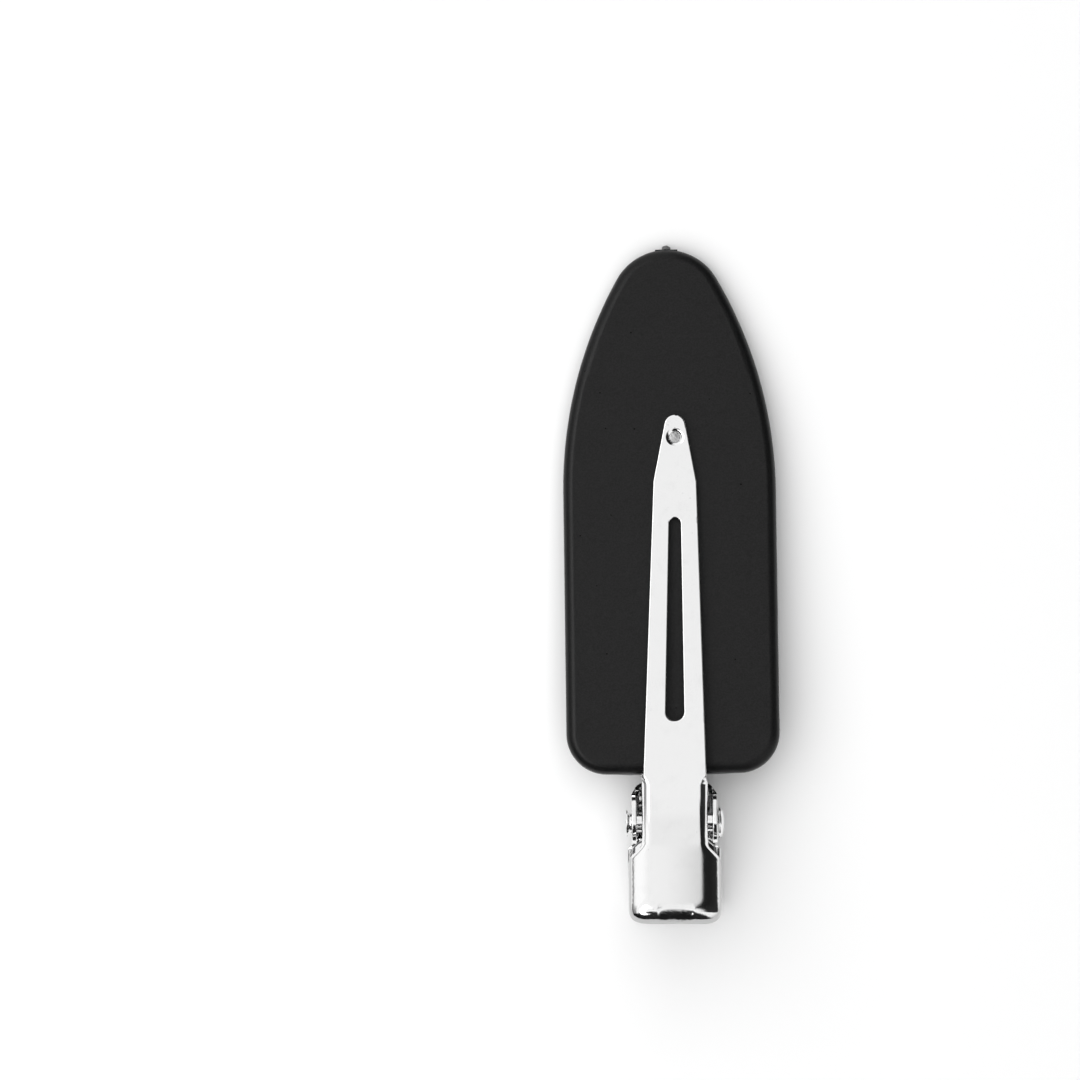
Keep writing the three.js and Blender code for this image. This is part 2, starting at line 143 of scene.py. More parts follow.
@dataclass(frozen=True)
class KeyedSize:
    """A size that changes smoothly along a pressing.

    Attributes:
        keys: Pairs of place and size, in rising order of place.
    """

    keys: tuple[Pair, ...]

    def at(self, place: float) -> float:
        """The size at a place, held level outside the keys.

        Args:
            place: The place along the pressing.

        Returns:
            The size.
        """
        for (start, first), (end, last) in zip(self.keys, self.keys[1:]):
            if place <= end:
                return first + (last - first) * eased((place - start) / (end - start))
        return self.keys[-1][1]


@dataclass(frozen=True)
class ClipFrame:
    """Where the clip's own frame lies in the row frame.

    Attributes:
        pivot: The rivet's middle, in metres.
        tilt: The clip's turn about X as it lies on the floor, in radians.
    """

    pivot: Vector
    tilt: float

    @classmethod
    def of(cls, loaded: dict[str, Any]) -> "ClipFrame":
        """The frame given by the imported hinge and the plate's outer face."""
        face = loaded["record"]["mounts"][0]["axis"]
        return cls(Vector(loaded["joints"][0]["pos_m"]), math.atan2(face[1], -face[2]))

    @property
    def matrix(self) -> Matrix:
        """The matrix from millimetres in the clip's frame to the row frame."""
        turn = Matrix.Rotation(self.tilt, 4, "X")
        return Matrix.Translation(self.pivot) @ turn @ Matrix.Scale(MM, 4)


class MeshDraft:
    """Points and faces gathered before they become a mesh."""

    def __init__(self) -> None:
        """Starts an empty draft."""
        self.points: list[Sequence[float]] = []
        self.faces: list[Sequence[int]] = []

    def grid(self, points: np.ndarray, flip: bool = False, closed: bool = False) -> None:
        """Adds a net of quads.

        Args:
            points: An array of rows, columns and three coordinates, or seven numbers for a sheet:
                a point on each of its faces, and how hard the metal was bent there.
            flip: Turns the faces over.
            closed: Joins the last row to the first.
        """
        points = np.concatenate([points, points[:1]]) if closed else points
        rows, columns, numbers = points.shape
        index = len(self.points) + np.arange(rows * columns).reshape(rows, columns)
        corners = [index[:-1, :-1], index[:-1, 1:], index[1:, 1:], index[1:, :-1]]
        quads = np.stack(corners, axis=-1).reshape(-1, 4)
        self.points.extend(points.reshape(-1, numbers).tolist())
        self.faces.extend((quads[:, ::-1] if flip else quads).tolist())

    def welded(self) -> bmesh.types.BMesh:
        """Welds the draft's points that coincide.

        Returns:
            The draft as a net that keeps a sheet's further numbers in layers.
        """
        net = bmesh.new()
        layer = net.verts.layers.float_vector.new(UNDER)
        strain = net.verts.layers.float.new(STRAIN)
        corners = []
        for point in self.points:
            corner = net.verts.new(point[:3])
            if len(point) > 3:
                corner[layer] = Vector(point[3:6])
                corner[strain] = point[6]
            corners.append(corner)
        for face in self.faces:
            net.faces.new([corners[number] for number in face])
        bmesh.ops.remove_doubles(net, verts=net.verts, dist=WELD)
        return net

    def solid(self, name: str) -> bpy.types.Object:
        """Makes the draft an object whose faces bound a solid.

        Args:
            name: The object's name.

        Returns:
            The object.
        """
        net = self.welded()
        bmesh.ops.recalc_face_normals(net, faces=net.faces)
        return linked(name, net)

    def sheet(self, name: str, rounding: float) -> bpy.types.Object:
        """The draft as a sheet between its two faces.

        Args:
            name: The object's name.
            rounding: Radius of the sheet's edges.

        Returns:
            The object, linked to the scene.
        """
        net = self.welded()
        layer = net.verts.layers.float_vector[UNDER]
        strain = net.verts.layers.float[STRAIN]
        faces = list(net.faces)
        borders = [edge.link_loops[0] for edge in net.edges if len(edge.link_loops) == 1]
        outward: dict[bmesh.types.BMVert, Vector] = {}
        for loop in borders:
            start, end = loop.vert, loop.link_loop_next.vert
            side = (end.co - start.co).cross(loop.face.normal).normalized()
            for corner in (start, end):
                outward[corner] = outward.get(corner, Vector()) + side
        under = {}
        for corner in list(net.verts):
            under[corner] = net.verts.new(corner[layer])
            under[corner][strain] = corner[strain]
        for face in faces:
            net.faces.new([under[corner] for corner in reversed(face.verts)])
        turns = np.linspace(0.0, QUARTER, EDGE_STEPS)
        rims = {}
        for corner, side in outward.items():
            side = side.normalized()
            thick = under[corner].co - corner.co
            down = thick.normalized()
            rows = [(rounding * math.sin(t), rounding * (1.0 - math.cos(t))) for t in turns[1:]]
            rows += [(out, thick.length - depth) for out, depth in reversed(rows)]
            rim = [net.verts.new(corner.co + side * out + down * depth) for out, depth in rows]
            rims[corner] = [corner, *rim, under[corner]]
        for loop in borders:
            first, second = rims[loop.vert], rims[loop.link_loop_next.vert]
            for step in range(len(first) - 1):
                net.faces.new((first[step], first[step + 1], second[step + 1], second[step]))
        bmesh.ops.recalc_face_normals(net, faces=net.faces)
        return linked(name, net)


def linked(name: str, net: bmesh.types.BMesh) -> bpy.types.Object:
    """Makes a net an object of the scene.

    Args:
        name: The object's name.
        net: The net, which is freed.

    Returns:
        The object.
    """
    mesh = bpy.data.meshes.new(name)
    net.to_mesh(mesh)
    net.free()
    piece = bpy.data.objects.new(name, mesh)
    bpy.context.scene.collection.objects.link(piece)
    return piece


def lathe(profile: Sequence[Pair], sides: int) -> np.ndarray:
    """Rings of points about the X axis.

    Args:
        profile: Pairs of radius and place along X.
        sides: How many points each ring has.

    Returns:
        An array of sides, profile points and three coordinates.
    """
    angles = np.linspace(0.0, 2.0 * math.pi, sides, endpoint=False)
    return np.array([
        [(along, radius * math.cos(angle), radius * math.sin(angle)) for radius, along in profile]
        for angle in angles
    ])


def rows_between(marks: Sequence[float], counts: Sequence[int]) -> np.ndarray:
    """Places of rows that run through marks.

    Args:
        marks: Places that the rows pass.
        counts: How many rows each stretch between two marks has.

    Returns:
        The places, from the first mark to the last.
    """
    stretches = list(zip(marks, marks[1:], counts))
    rows = [np.linspace(start, end, count, endpoint=False) for start, end, count in stretches[:-1]]
    return np.concatenate([*rows, np.linspace(*stretches[-1])])


def bake(piece: bpy.types.Object) -> None:
    """Makes the shape that an object's modifiers give it its own.

    Args:
        piece: The object, which loses its modifiers.
    """
    made = bpy.data.meshes.new_from_object(piece.evaluated_get(bpy.context.evaluated_depsgraph_get()))
    piece.modifiers.clear()
    old, piece.data = piece.data, made
    bpy.data.meshes.remove(old)


def combine(piece: bpy.types.Object, tool: bpy.types.Object, join: Join) -> None:
    """Adds a tool's solid to a piece or cuts it out.

    Args:
        piece: The object to change.
        tool: The solid, which is then removed.
        join: Whether it is added or cut out.
    """
    change = piece.modifiers.new("combine", "BOOLEAN")
    change.operation = join.value
    change.solver = "EXACT"
    change.object = tool
    bake(piece)
    bpy.data.objects.remove(tool)


def work(piece: bpy.types.Object, axis: tuple[Vector, Vector], radii: Pair, strain: float) -> None:
    """Sets how hard a piece was worked on its points in a ring about an axis.

    Args:
        piece: The object to mark.
        axis: A point on the axis and the axis's direction; points behind the point are left.
        radii: The ring's inner and outer radius.
        strain: The value to set.
    """
    start, along = axis
    values = piece.data.attributes[STRAIN].data
    for corner, value in zip(piece.data.vertices, values):
        away = corner.co - start
        ahead = away.dot(along)
        if ahead > 0.0 and radii[0] <= (away - ahead * along).length < radii[1]:
            value.value = strain


def finish_mesh(piece: bpy.types.Object, placing: ClipFrame, crease: float) -> None:
    """Shades a piece smooth up to a crease angle and carries it to the row frame.

    Args:
        piece: The object to finish.
        placing: The clip's place in the row frame.
        crease: Edges that turn by more than this, in radians, stay sharp.
    """
    piece.data.polygons.foreach_set("use_smooth", [True] * len(piece.data.polygons))
    piece.data.set_sharp_from_angle(angle=crease)
    even = piece.modifiers.new("even", "WEIGHTED_NORMAL")
    even.keep_sharp = True
    even.weight = 100
    bake(piece)
    piece.data.transform(placing.matrix)
    piece.data.update()


class NodeBoard:
    """A material's node tree with short calls for adding and joining nodes."""

    def __init__(self, name: str) -> None:
        """Starts a material with a Principled shader and millimetre coordinates.

        Args:
            name: The material's name.
        """
        self.material = bpy.data.materials.new(name)
        self.material.use_nodes = True
        self.tree = self.material.node_tree
        self.shader = self.tree.nodes["Principled BSDF"]
        place = self.tree.nodes.new("ShaderNodeTexCoord")
        self.millimetres = self.scaled(place.outputs["Object"], (1 / MM, 1 / MM, 1 / MM))

    def put(self, socket: Any, value: Any) -> None:
        """Sets a socket to a value or joins it to another socket.

        Args:
            socket: The socket to set.
            value: A plain value or a socket.
        """
        if isinstance(value, bpy.types.NodeSocket):
            self.tree.links.new(value, socket)
        else:
            socket.default_value = value

    def add(self, kind: str, settings: dict[str, Any], **values: Any) -> bpy.types.Node:
        """Adds a node.

        Args:
            kind: The node's Blender type.
            settings: Properties of the node itself.
            values: Values or sockets for its inputs, by name with _ for a space.

        Returns:
            The node.
        """
        node = self.tree.nodes.new(kind)
        for name, value in settings.items():
            setattr(node, name, value)
        for name, value in values.items():
            self.put(node.inputs[name.replace("_", " ")], value)
        return node

    def scaled(self, vector: Any, scale: Sequence[float], turn: float = 0.0) -> Any:
        """Coordinates scaled by three factors after a turn about Z."""
        turned = self.add("ShaderNodeMapping", {}, Vector=vector, Rotation=(0.0, 0.0, turn))
        return self.add("ShaderNodeMapping", {}, Vector=turned.outputs[0], Scale=scale).outputs[0]

    def noise(self, vector: Any, scale: float, detail: float = 2.0) -> Any:
        """A noise value of so many lumps per unit."""
        values = {"Vector": vector, "Scale": scale, "Detail": detail}
        return self.add("ShaderNodeTexNoise", {}, **values).outputs[0]

    def dots(self, scale: float, radius: float) -> Any:
        """Scattered round specks: 1 inside a speck of some radius, about one for each cell of 1/scale."""
        cells = self.add("ShaderNodeTexVoronoi", {}, Vector=self.millimetres, Scale=scale)
        return self.span(cells.outputs["Distance"], 0.5 * radius * scale, radius * scale, 1.0, 0.0)

    def strain(self) -> Any:
        """How hard the surface was worked here, as kept on its points."""
        return self.add("ShaderNodeAttribute", {"attribute_name": STRAIN}).outputs["Fac"]

    def span(self, value: Any, low: float, high: float, to_low: float, to_high: float) -> Any:
        """Carries a value smoothly from one range to another, held at its ends.

        Args:
            value: The value's socket.
            low: Start of its range.
            high: End of its range.
            to_low: The result at the start.
            to_high: The result at the end.

        Returns:
            The result's socket.
        """
        node = self.add("ShaderNodeMapRange", {"interpolation_type": "SMOOTHSTEP"}, Value=value)
        for name, number in zip(("From Min", "From Max", "To Min", "To Max"), (low, high, to_low, to_high)):
            node.inputs[name].default_value = number
        return node.outputs[0]

    def sum(self, first: Any, second: Any, operation: str = "ADD") -> Any:
        """Joins two values by a sum or another operation.

        Args:
            first: A value or socket.
            second: A value or socket.
            operation: The math node's operation.

        Returns:
            The result's socket.
        """
        node = self.add("ShaderNodeMath", {"operation": operation})
        self.put(node.inputs[0], first)
        self.put(node.inputs[1], second)
        return node.outputs[0]

    def tint(self, share: Any, first: Any, second: Any) -> Any:
        """Mixes two colours, given as numbers or sockets.

        Args:
            share: The second colour's share.
            first: The first colour.
            second: The second colour.

        Returns:
            The colour's socket.
        """
        node = self.add("ShaderNodeMix", {"data_type": "RGBA"})
        self.put(node.inputs[0], share)
        for socket, colour in ((node.inputs[6], first), (node.inputs[7], second)):
            self.put(socket, (*colour, 1.0) if isinstance(colour, tuple) else colour)
        return node.outputs[2]

    def relief(self, height: Any, depth: float, below: Any = None) -> Any:
        """Adds a bump.

        Args:
            height: The bump's height, from 0 to 1.
            depth: Its full height, in millimetres.
            below: The normal of a bump that it lies on.

        Returns:
            The normal's socket.
        """
        node = self.add("ShaderNodeBump", {}, Height=height, Strength=1.0, Distance=depth * MM)
        if below is not None:
            self.put(node.inputs["Normal"], below)
        return node.outputs[0]

    def dress(self, **values: Any) -> bpy.types.Material:
        """Sets the shader's sockets.

        Args:
            values: Values or sockets for its inputs, by name with _ for a space.

        Returns:
            The material.
        """
        for name, value in values.items():
            self.put(self.shader.inputs[name.replace("_", " ")], value)
        return self.material


@dataclass(frozen=True)
class PlatedFinish:
    """Bright nickel plate over metal that was polished and then handled.

    Attributes:
        name: The material's name.
        slot: The record's material slot; not used.
        colour: The clean plate's colour.
        bend_wear_and_shade: The colour where the metal was bent hardest: worn plate in part, and painted
            shade for the dark surroundings that the bent walls mirror.
        soiled: The colour in specks and pits.
        roughness: Roughness of the clean and the most rubbed plate.
        rubbing: Where in the smears' noise the rubbing starts and ends.
        waves: Slow waves that pressing leaves in the sheet, per millimetre.
        wave_depth: Height of the waves.
        streaks: Scratches along the clip, per millimetre each way.
        streak_turn: Their turn about Z, in radians.
        strokes: Scratches across the clip, per millimetre each way.
        stroke_turn: Their turn about Z, in radians.
        scratch_depth: Depth of the scratches.
        peel: Lumps of the rough skin where the metal was bent, per millimetre.
        peel_depth: Height of the rough skin.
        bend_shade_strains: The strain where the darker colour of worn plate and painted shade starts, and
            where it is full.
        specks: Specks per millimetre, and their radius.
        speck_share: How much of the soil shows in a speck.
        smears: Smears of handling, per millimetre.
        smearing: Where in their noise the smears start and end.
        smear_share: The most soil that shows in a smear.
    """

    name: str
    slot: str
    colour: Triple = (0.9, 0.9, 0.9)
    bend_wear_and_shade: Triple = (0.5, 0.5, 0.5)
    soiled: Triple = (0.3, 0.3, 0.31)
    roughness: Pair = (0.06, 0.11)
    rubbing: Pair = (0.35, 0.75)
    waves: float = 0.45
    wave_depth: float = 0.002
    streaks: Triple = (9.0, 0.5, 9.0)
    streak_turn: float = 0.45
    strokes: Triple = (0.6, 14.0, 6.0)
    stroke_turn: float = -0.3
    scratch_depth: float = 0.0012
    peel: float = 3.0
    peel_depth: float = 0.02
    bend_shade_strains: Pair = (0.8, 0.98)
    specks: Pair = (0.8, 0.07)
    speck_share: float = 0.3
    smears: float = 0.7
    smearing: Pair = (0.5, 0.8)
    smear_share: float = 0.05

    def material(self) -> bpy.types.Material:
        """Builds the plate's nodes.

        Returns:
            The material.
        """
        board = NodeBoard(self.name)
        waves = board.noise(board.millimetres, self.waves, 1.0)
        along = board.scaled(board.millimetres, self.streaks, self.streak_turn)
        streaks = board.noise(along, 1.0, 3.0)
        across = board.scaled(board.millimetres, self.strokes, self.stroke_turn)
        strokes = board.noise(across, 1.0, 3.0)
        specks = board.sum(board.dots(*self.specks), self.speck_share, "MULTIPLY")
        smears = board.noise(board.millimetres, self.smears, 4.0)
        rough = board.span(smears, *self.rubbing, *self.roughness)
        soil = board.sum(specks, board.span(smears, *self.smearing, 0.0, self.smear_share))
        wavy = board.relief(waves, self.wave_depth)
        drawn = board.relief(streaks, self.scratch_depth, wavy)
        scored = board.relief(strokes, self.scratch_depth, drawn)
        strain = board.strain()
        lumps = board.sum(board.noise(board.millimetres, self.peel, 4.0), strain, "MULTIPLY")
        peel = board.sum(lumps, strain, "MULTIPLY")
        normal = board.relief(peel, self.peel_depth, scored)
        # Where the metal was bent hardest the plate is painted darker: worn plate in part, and painted shade
        # standing in for the dark surroundings that the bent walls mirror.
        plate = board.tint(board.span(strain, *self.bend_shade_strains, 0.0, 1.0), self.colour, self.bend_wear_and_shade)
        return board.dress(
            Base_Color=board.tint(soil, plate, self.soiled),
            Metallic=1.0,
            Roughness=rough,
            Normal=normal,
        )


@dataclass(frozen=True)
class MouldedFinish:
    """Matte black plastic with the fine grain of its mould.

    Attributes:
        name: The material's name.
        slot: The record's material slot; not used.
        dark: The darkest colour.
        pale: The palest colour.
        torn: The colour of torn plastic.
        roughness: The range of roughness.
        grain: Lumps of grain per millimetre.
        grain_depth: Height of the grain.
        contrast: Where in their noise grain and patches start and end.
        flow: Slow unevenness of the moulded face, per millimetre.
        flow_depth: Height of that unevenness.
        patches: Patches of other roughness, per millimetre.
        pits: Pits per millimetre, and their radius.
        pit_roughness: How much rougher a pit is.
        shine: Strength of the reflection on the face and in a pit.
    """

    name: str
    slot: str
    dark: Triple = (0.002, 0.002, 0.0021)
    pale: Triple = (0.0065, 0.0065, 0.0067)
    torn: Triple = (0.11, 0.11, 0.11)
    roughness: Pair = (0.37, 0.4)
    grain: float = 7.0
    grain_depth: float = 0.006
    contrast: Pair = (0.3, 0.7)
    flow: float = 0.22
    flow_depth: float = 0.002
    patches: float = 0.8
    pits: Pair = (0.55, 0.09)
    pit_roughness: float = 0.4
    shine: Pair = (0.225, 0.02)

    def material(self) -> bpy.types.Material:
        """Builds the plastic's nodes.

        Returns:
            The material.
        """
        board = NodeBoard(self.name)
        grain = board.noise(board.millimetres, self.grain, 3.0)
        flow = board.noise(board.millimetres, self.flow, 2.0)
        low, high = self.roughness
        patches = board.noise(board.millimetres, self.patches, 4.0)
        pits = board.dots(*self.pits)
        pitted = board.sum(board.span(grain, *self.contrast, 0.0, 1.0), pits, "SUBTRACT")
        sunk = board.relief(pits, -self.grain_depth, board.relief(flow, self.flow_depth))
        relief = board.relief(grain, self.grain_depth, sunk)
        moulded = board.tint(pitted, self.dark, self.pale)
        roughened = board.sum(pits, self.pit_roughness, "MULTIPLY")
        rough = board.sum(board.span(patches, *self.contrast, high, low), roughened)
        return board.dress(
            Base_Color=board.tint(board.strain(), moulded, self.torn),
            Roughness=rough,
            Specular_IOR_Level=board.span(pits, 0.0, 1.0, *self.shine),
            Normal=relief,
        )


@dataclass(frozen=True)
class WireFinish:
    """Drawn spring steel wire.

    Attributes:
        name: The material's name.
        slot: The record's material slot; not used.
        pale: The drawn wire's colour.
        dark: The colour of its oiled patches.
        roughness: The range of roughness.
        draws: Drawing marks per millimetre each way.
        draw_depth: Depth of those marks.
        patches: Oiled patches per millimetre.
        oiling: Where in their noise the patches start and end.
    """

    name: str
    slot: str
    pale: Triple = (0.6, 0.6, 0.62)
    dark: Triple = (0.42, 0.42, 0.43)
    roughness: Pair = (0.2, 0.38)
    draws: Triple = (14.0, 2.0, 2.0)
    draw_depth: float = 0.003
    patches: float = 1.1
    oiling: Pair = (0.35, 0.7)

    def material(self) -> bpy.types.Material:
        """Builds the wire's nodes.

        Returns:
            The material.
        """
        board = NodeBoard(self.name)
        marks = board.noise(board.scaled(board.millimetres, self.draws), 1.0, 3.0)
        patches = board.noise(board.millimetres, self.patches, 3.0)
        oiled = board.span(patches, *self.oiling, 0.0, 1.0)
        return board.dress(
            Base_Color=board.tint(oiled, self.pale, self.dark),
            Metallic=1.0,
            Roughness=board.span(oiled, 0.0, 1.0, *self.roughness),
            Normal=board.relief(marks, self.draw_depth),
        )


Finish = PlatedFinish | MouldedFinish | WireFinish


def dress(piece: bpy.types.Object, node: str, body: Body, finish: Finish) -> None:
    """Gives a piece its finish and its place on the part.

    Args:
        piece: The object, in the row frame.
        node: The node of the part that it stands for.
        body: The body that it rides on.
        finish: Its finish.
    """
    piece.data.materials.clear()
    piece.data.materials.append(finish.material())
    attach(piece, body.value)
    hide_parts(node)
    log.info("%s: %d faces on %s", piece.name, len(piece.data.polygons), body.value)


class SheetPath:
    """The side view of a sheet's outer face: straight runs from rear to front, joined by round bends."""

    def __init__(self, corners: Sequence[Pair], radii: Sequence[float], origin: int) -> None:
        """Lays the path.

        Args:
            corners: Points (y, z) where the runs would meet, and the two ends.
            radii: The outer face's radius at each corner between the ends.
            origin: The corner that counts as place 0.
        """
        self.corners = [np.array(corner) for corner in corners]
        steps = [after - before for before, after in zip(self.corners, self.corners[1:])]
        self.headings = [math.atan2(step[1], step[0]) for step in steps]
        places = np.concatenate([[0.0], np.cumsum([np.hypot(*step) for step in steps])])
        self.places = places - places[origin]
        self.bends: list[tuple[float, float, float, float, np.ndarray]] = []
        for number, radius in enumerate(radii, 1):
            heading = self.headings[number - 1]
            turn = self.headings[number] - heading
            reach = radius * math.tan(abs(turn) / 2.0)
            start = self.corners[number] - reach * np.array((math.cos(heading), math.sin(heading)))
            signed = math.copysign(radius, turn)
            centre = start + signed * self.outward(heading)
            self.bends.append((self.places[number], reach, turn, signed, centre))

    @staticmethod
    def outward(heading: float) -> np.ndarray:
        """The outer face's direction (y, z) on a run of some heading."""
        return np.array((-math.sin(heading), math.cos(heading)))

    def point(self, place: float, depth: float) -> np.ndarray:
        """Finds a point of the sheet in its side view.

        Args:
            place: The place along the sheet.
            depth: The depth under its outer face.

        Returns:
            The point (y, z).
        """
        for number, (middle, reach, turn, signed, centre) in enumerate(self.bends):
            if abs(place - middle) < reach:
                share = (place - middle + reach) / (2.0 * reach)
                outward = self.outward(self.headings[number] + turn * share)
                return centre - (signed + depth) * outward
        run = int(np.clip(np.searchsorted(self.places, place) - 1, 0, len(self.headings) - 1))
        heading = self.headings[run]
        along = np.array((math.cos(heading), math.sin(heading)))
        return self.corners[run] + (place - self.places[run]) * along - depth * self.outward(heading)


@dataclass(frozen=True)
class Station:
    """One point of the line where a pressing's flat web turns over into its flange.

    Attributes:
        across: Distance from the middle line.
        place: Place along the sheet.
        outward: The flange's direction in the developed plan, across and along.
        reach: How far the bend reaches outward.
        drop: How far it drops.
        depth: Depth of the flange's free edge under the outer face.
        flare: The lean of the bend's end away from square, in radians.
        splay: The lean of the flange beyond the bend, in radians.
        slot: Half the width of the slot in the web here.
        strain: How hard the metal was worked here, as a factor.
    """

    across: float
    place: float
    outward: Pair
    reach: float
    drop: float
    depth: float
    flare: float
    splay: float
    slot: float = 0.0
    strain: float = 1.0

    @property
    def turn(self) -> float:
        """How far the bend turns, on its ellipse, before the flange runs on straight or ends."""
        full = math.atan2(self.reach, self.drop * math.tan(self.flare))
        return min(full, math.acos(max(1.0 - self.depth / self.drop, -1.0)))

    @property
    def spread(self) -> float:
        """How far the flange's free edge lies outside the flat web."""
        fallen = self.drop * (1.0 - math.cos(self.turn))
        return self.reach * math.sin(self.turn) + (self.depth - fallen) * math.tan(self.splay)

    def spread_to(self, target: float) -> "Station":
        """Fits the bend's reach to the spread of the flange's free edge.

        Args:
            target: The spread.

        Returns:
            The fitted station.
        """
        station = self
        for _ in range(REACH_TRIES):
            station = replace(station, reach=max(station.reach + target - station.spread, WELD))
        return station


@dataclass
class PressedArm:
    """What both sheet-steel arms share: a web, two ears on the rivet and a finger tab with a rim.

    Attributes:
        sheet: Thickness of the sheet.
        ear_radius: Radius of the ears' round ends.
        ear_stretch: How much longer the round ends are in front of the pivot.
        ear_reach: Reach of the bend from web to ear.
        ear_drop: Drop of that bend.
        hole_radius: Radius of the rivet's hole.
        front_fade: Length over which an ear's bend starts at its front.
        back_fade: Length over which an ear's rear edge rises.
        edge_run: Half the length over which corners of the flanges' edges are rounded.
        edge_samples: Samples of the edge over that length.
        rim_depth: Depth of the tab's rim.
        tab_drop: Drop of the bend round the tab.
        side_reach: Reach of the bend along the tab's sides.
        tab_crown: Sag of the tab's sides under its middle.
        end_reach: Reach of the bend at the ends of the tab's end.
        end_bow: How much further it reaches in the middle.
        bow_length: Length over which the web's rows take up that bow.
        bow_power: How squarely the bow runs along the tab's end.
        end_sink: How much further the bend drops in the middle of the tab's end.
        flat_corner: Radius of the flat web's corners at the tab's end.
        corner_power: How square the tab's corners are in plan, 2 for round.
        tab_flare: Lean of the tab's rim away from square, in radians.
        waist_depth: Depth of the flanges at the waist between ears and tab.
        ear_strain: How hard the ears were worked, against the tab's sides.
        end_strain: How hard the tab's end was worked, against its sides.
        edge_softness: Width of the rounding on the sheet's edges.
        crease: Edges that turn by more than this, in radians, stay sharp.
        columns: Steps across half of the web.
        bend_steps: Steps round a bend.
        flange_steps: Steps down a flange.
        corner_steps: Steps round a corner of the tab.
        round_sides: Sides of round tools.
    """

    sheet: float = 0.45
    ear_radius: float = 2.15
    ear_stretch: float = 1.0
    ear_reach: float = 0.8
    ear_drop: float = 0.75
    hole_radius: float = 1.0
    front_fade: float = 0.5
    back_fade: float = 0.2
    edge_run: float = 0.25
    edge_samples: int = 9
    rim_depth: float = 1.6
    tab_drop: float = 0.95
    side_reach: float = 1.85
    tab_crown: float = 0.2
    end_reach: float = 1.3
    end_bow: float = 0.25
    bow_length: float = 4.0
    bow_power: float = 4.0
    end_sink: float = 0.3
    flat_corner: float = 0.7
    corner_power: float = 3.4
    tab_flare: float = math.radians(5.0)
    waist_depth: float = 0.45
    ear_strain: float = 0.3
    end_strain: float = 2.0
    edge_softness: float = 0.09
    crease: float = math.radians(50.0)
    columns: int = 14
    bend_steps: int = 12
    flange_steps: int = 6
    corner_steps: int = 18
    round_sides: int = 64
    path: SheetPath = field(init=False)
    width: KeyedSize = field(init=False)
    reach: KeyedSize = field(init=False)
    drop: KeyedSize = field(init=False)
    flare: KeyedSize = field(init=False)
    rim: KeyedSize = field(init=False)
    crown: KeyedSize = field(init=False)
    strain: KeyedSize = field(init=False)
    ear_span: Pair = field(init=False)
    tab_end: float = field(init=False)

    def shape_flanges(self, shoulder: float, neck: float, waist: float) -> None:
        """Sets the sizes of bend and flange between the tab and the ears.

        Args:
            shoulder: Place where the tab's full width starts.
            neck: Place where the flange is narrowest.
            waist: Place where the ears start.
        """
        self.reach = KeyedSize(((shoulder, self.side_reach), (neck, self.ear_reach)))
        self.drop = KeyedSize(((shoulder, self.tab_drop), (neck, self.ear_drop)))
        self.flare = KeyedSize(((shoulder, self.tab_flare), (neck, 0.0)))
        self.rim = KeyedSize(((shoulder, self.rim_depth), (neck, self.waist_depth)))
        self.crown = KeyedSize(((shoulder, self.tab_crown), (waist, 0.0)))
        self.strain = KeyedSize(((shoulder, 1.0), (waist, self.ear_strain)))

    def half_width(self, place: float) -> float:
        """Half the width of the arm as seen from above."""
        return self.width.at(place)

    def slot_half(self, place: float) -> float:
        """Half the width of the slot in the web."""
        return 0.0

    def stations_along(self) -> np.ndarray:
        """Places of the rows from the arm's front end to the tab's corners."""
        raise NotImplementedError

    @cached_property
    def ear_outline(self) -> np.ndarray:
        """The ear's edge as points (y, z), from its rear to its front."""
        depths = (self.waist_depth, self.sheet)
        low = [self.path.point(place, depth) for place, depth in zip(self.ear_span, depths)]
        rear, front = low[0], low[1] / (self.ear_stretch, 1.0)
        turns = [math.acos(min(self.ear_radius / np.hypot(*point), 1.0)) for point in (rear, front)]
        start = math.atan2(rear[1], rear[0]) + turns[0]
        end = math.atan2(front[1], front[0]) - turns[1] + 2.0 * math.pi
        angles = np.linspace(start, end, self.round_sides)
        arc = self.ear_radius * np.stack([np.cos(angles), np.sin(angles)], axis=1)
        arc[:, 0] *= np.where(arc[:, 0] > 0.0, self.ear_stretch, 1.0)
        return np.concatenate([[low[0]], arc, [low[1]]])

    def ear_depth(self, place: float) -> float:
        """Measures how deep the ear's edge lies under the outer face.

        Args:
            place: The place along the sheet.

        Returns:
            The depth.
        """
        origin = self.path.point(place, 0.0)
        ray = self.path.point(place, 1.0) - origin
        outline = self.ear_outline
        deepest = self.sheet
        for first, second in zip(outline, outline[1:]):
            side = second - first
            cross = ray[0] * side[1] - ray[1] * side[0]
            if abs(cross) < TINY:
                continue
            to_first = first - origin
            along = (to_first[0] * ray[1] - to_first[1] * ray[0]) / cross
            if -TINY <= along <= 1.0 + TINY:
                deepest = max(deepest, (to_first[0] * side[1] - to_first[1] * side[0]) / cross)
        return deepest

    def flange_depth(self, place: float) -> float:
        """Depth of the flange's free edge at a place along the web, with its corners rounded off."""
        near = self.edge_run * np.linspace(-1.0, 1.0, self.edge_samples)
        return float(np.mean([self.cut_depth(place + step) for step in near]))

    def cut_depth(self, place: float) -> float:
        """Depth of the flange's free edge before its corners are rounded.

        Args:
            place: The place along the sheet.

        Returns:
            The depth.
        """
        rear, front = self.ear_span
        if place > front:
            return self.sheet * max(0.0, 1.0 - (place - front) / self.front_fade)
        if place > rear:
            return self.ear_depth(max(place, rear + WELD))
        rising = self.ear_depth(rear + WELD) * (1.0 - (rear - place) / self.back_fade)
        return max(self.rim.at(place), rising)

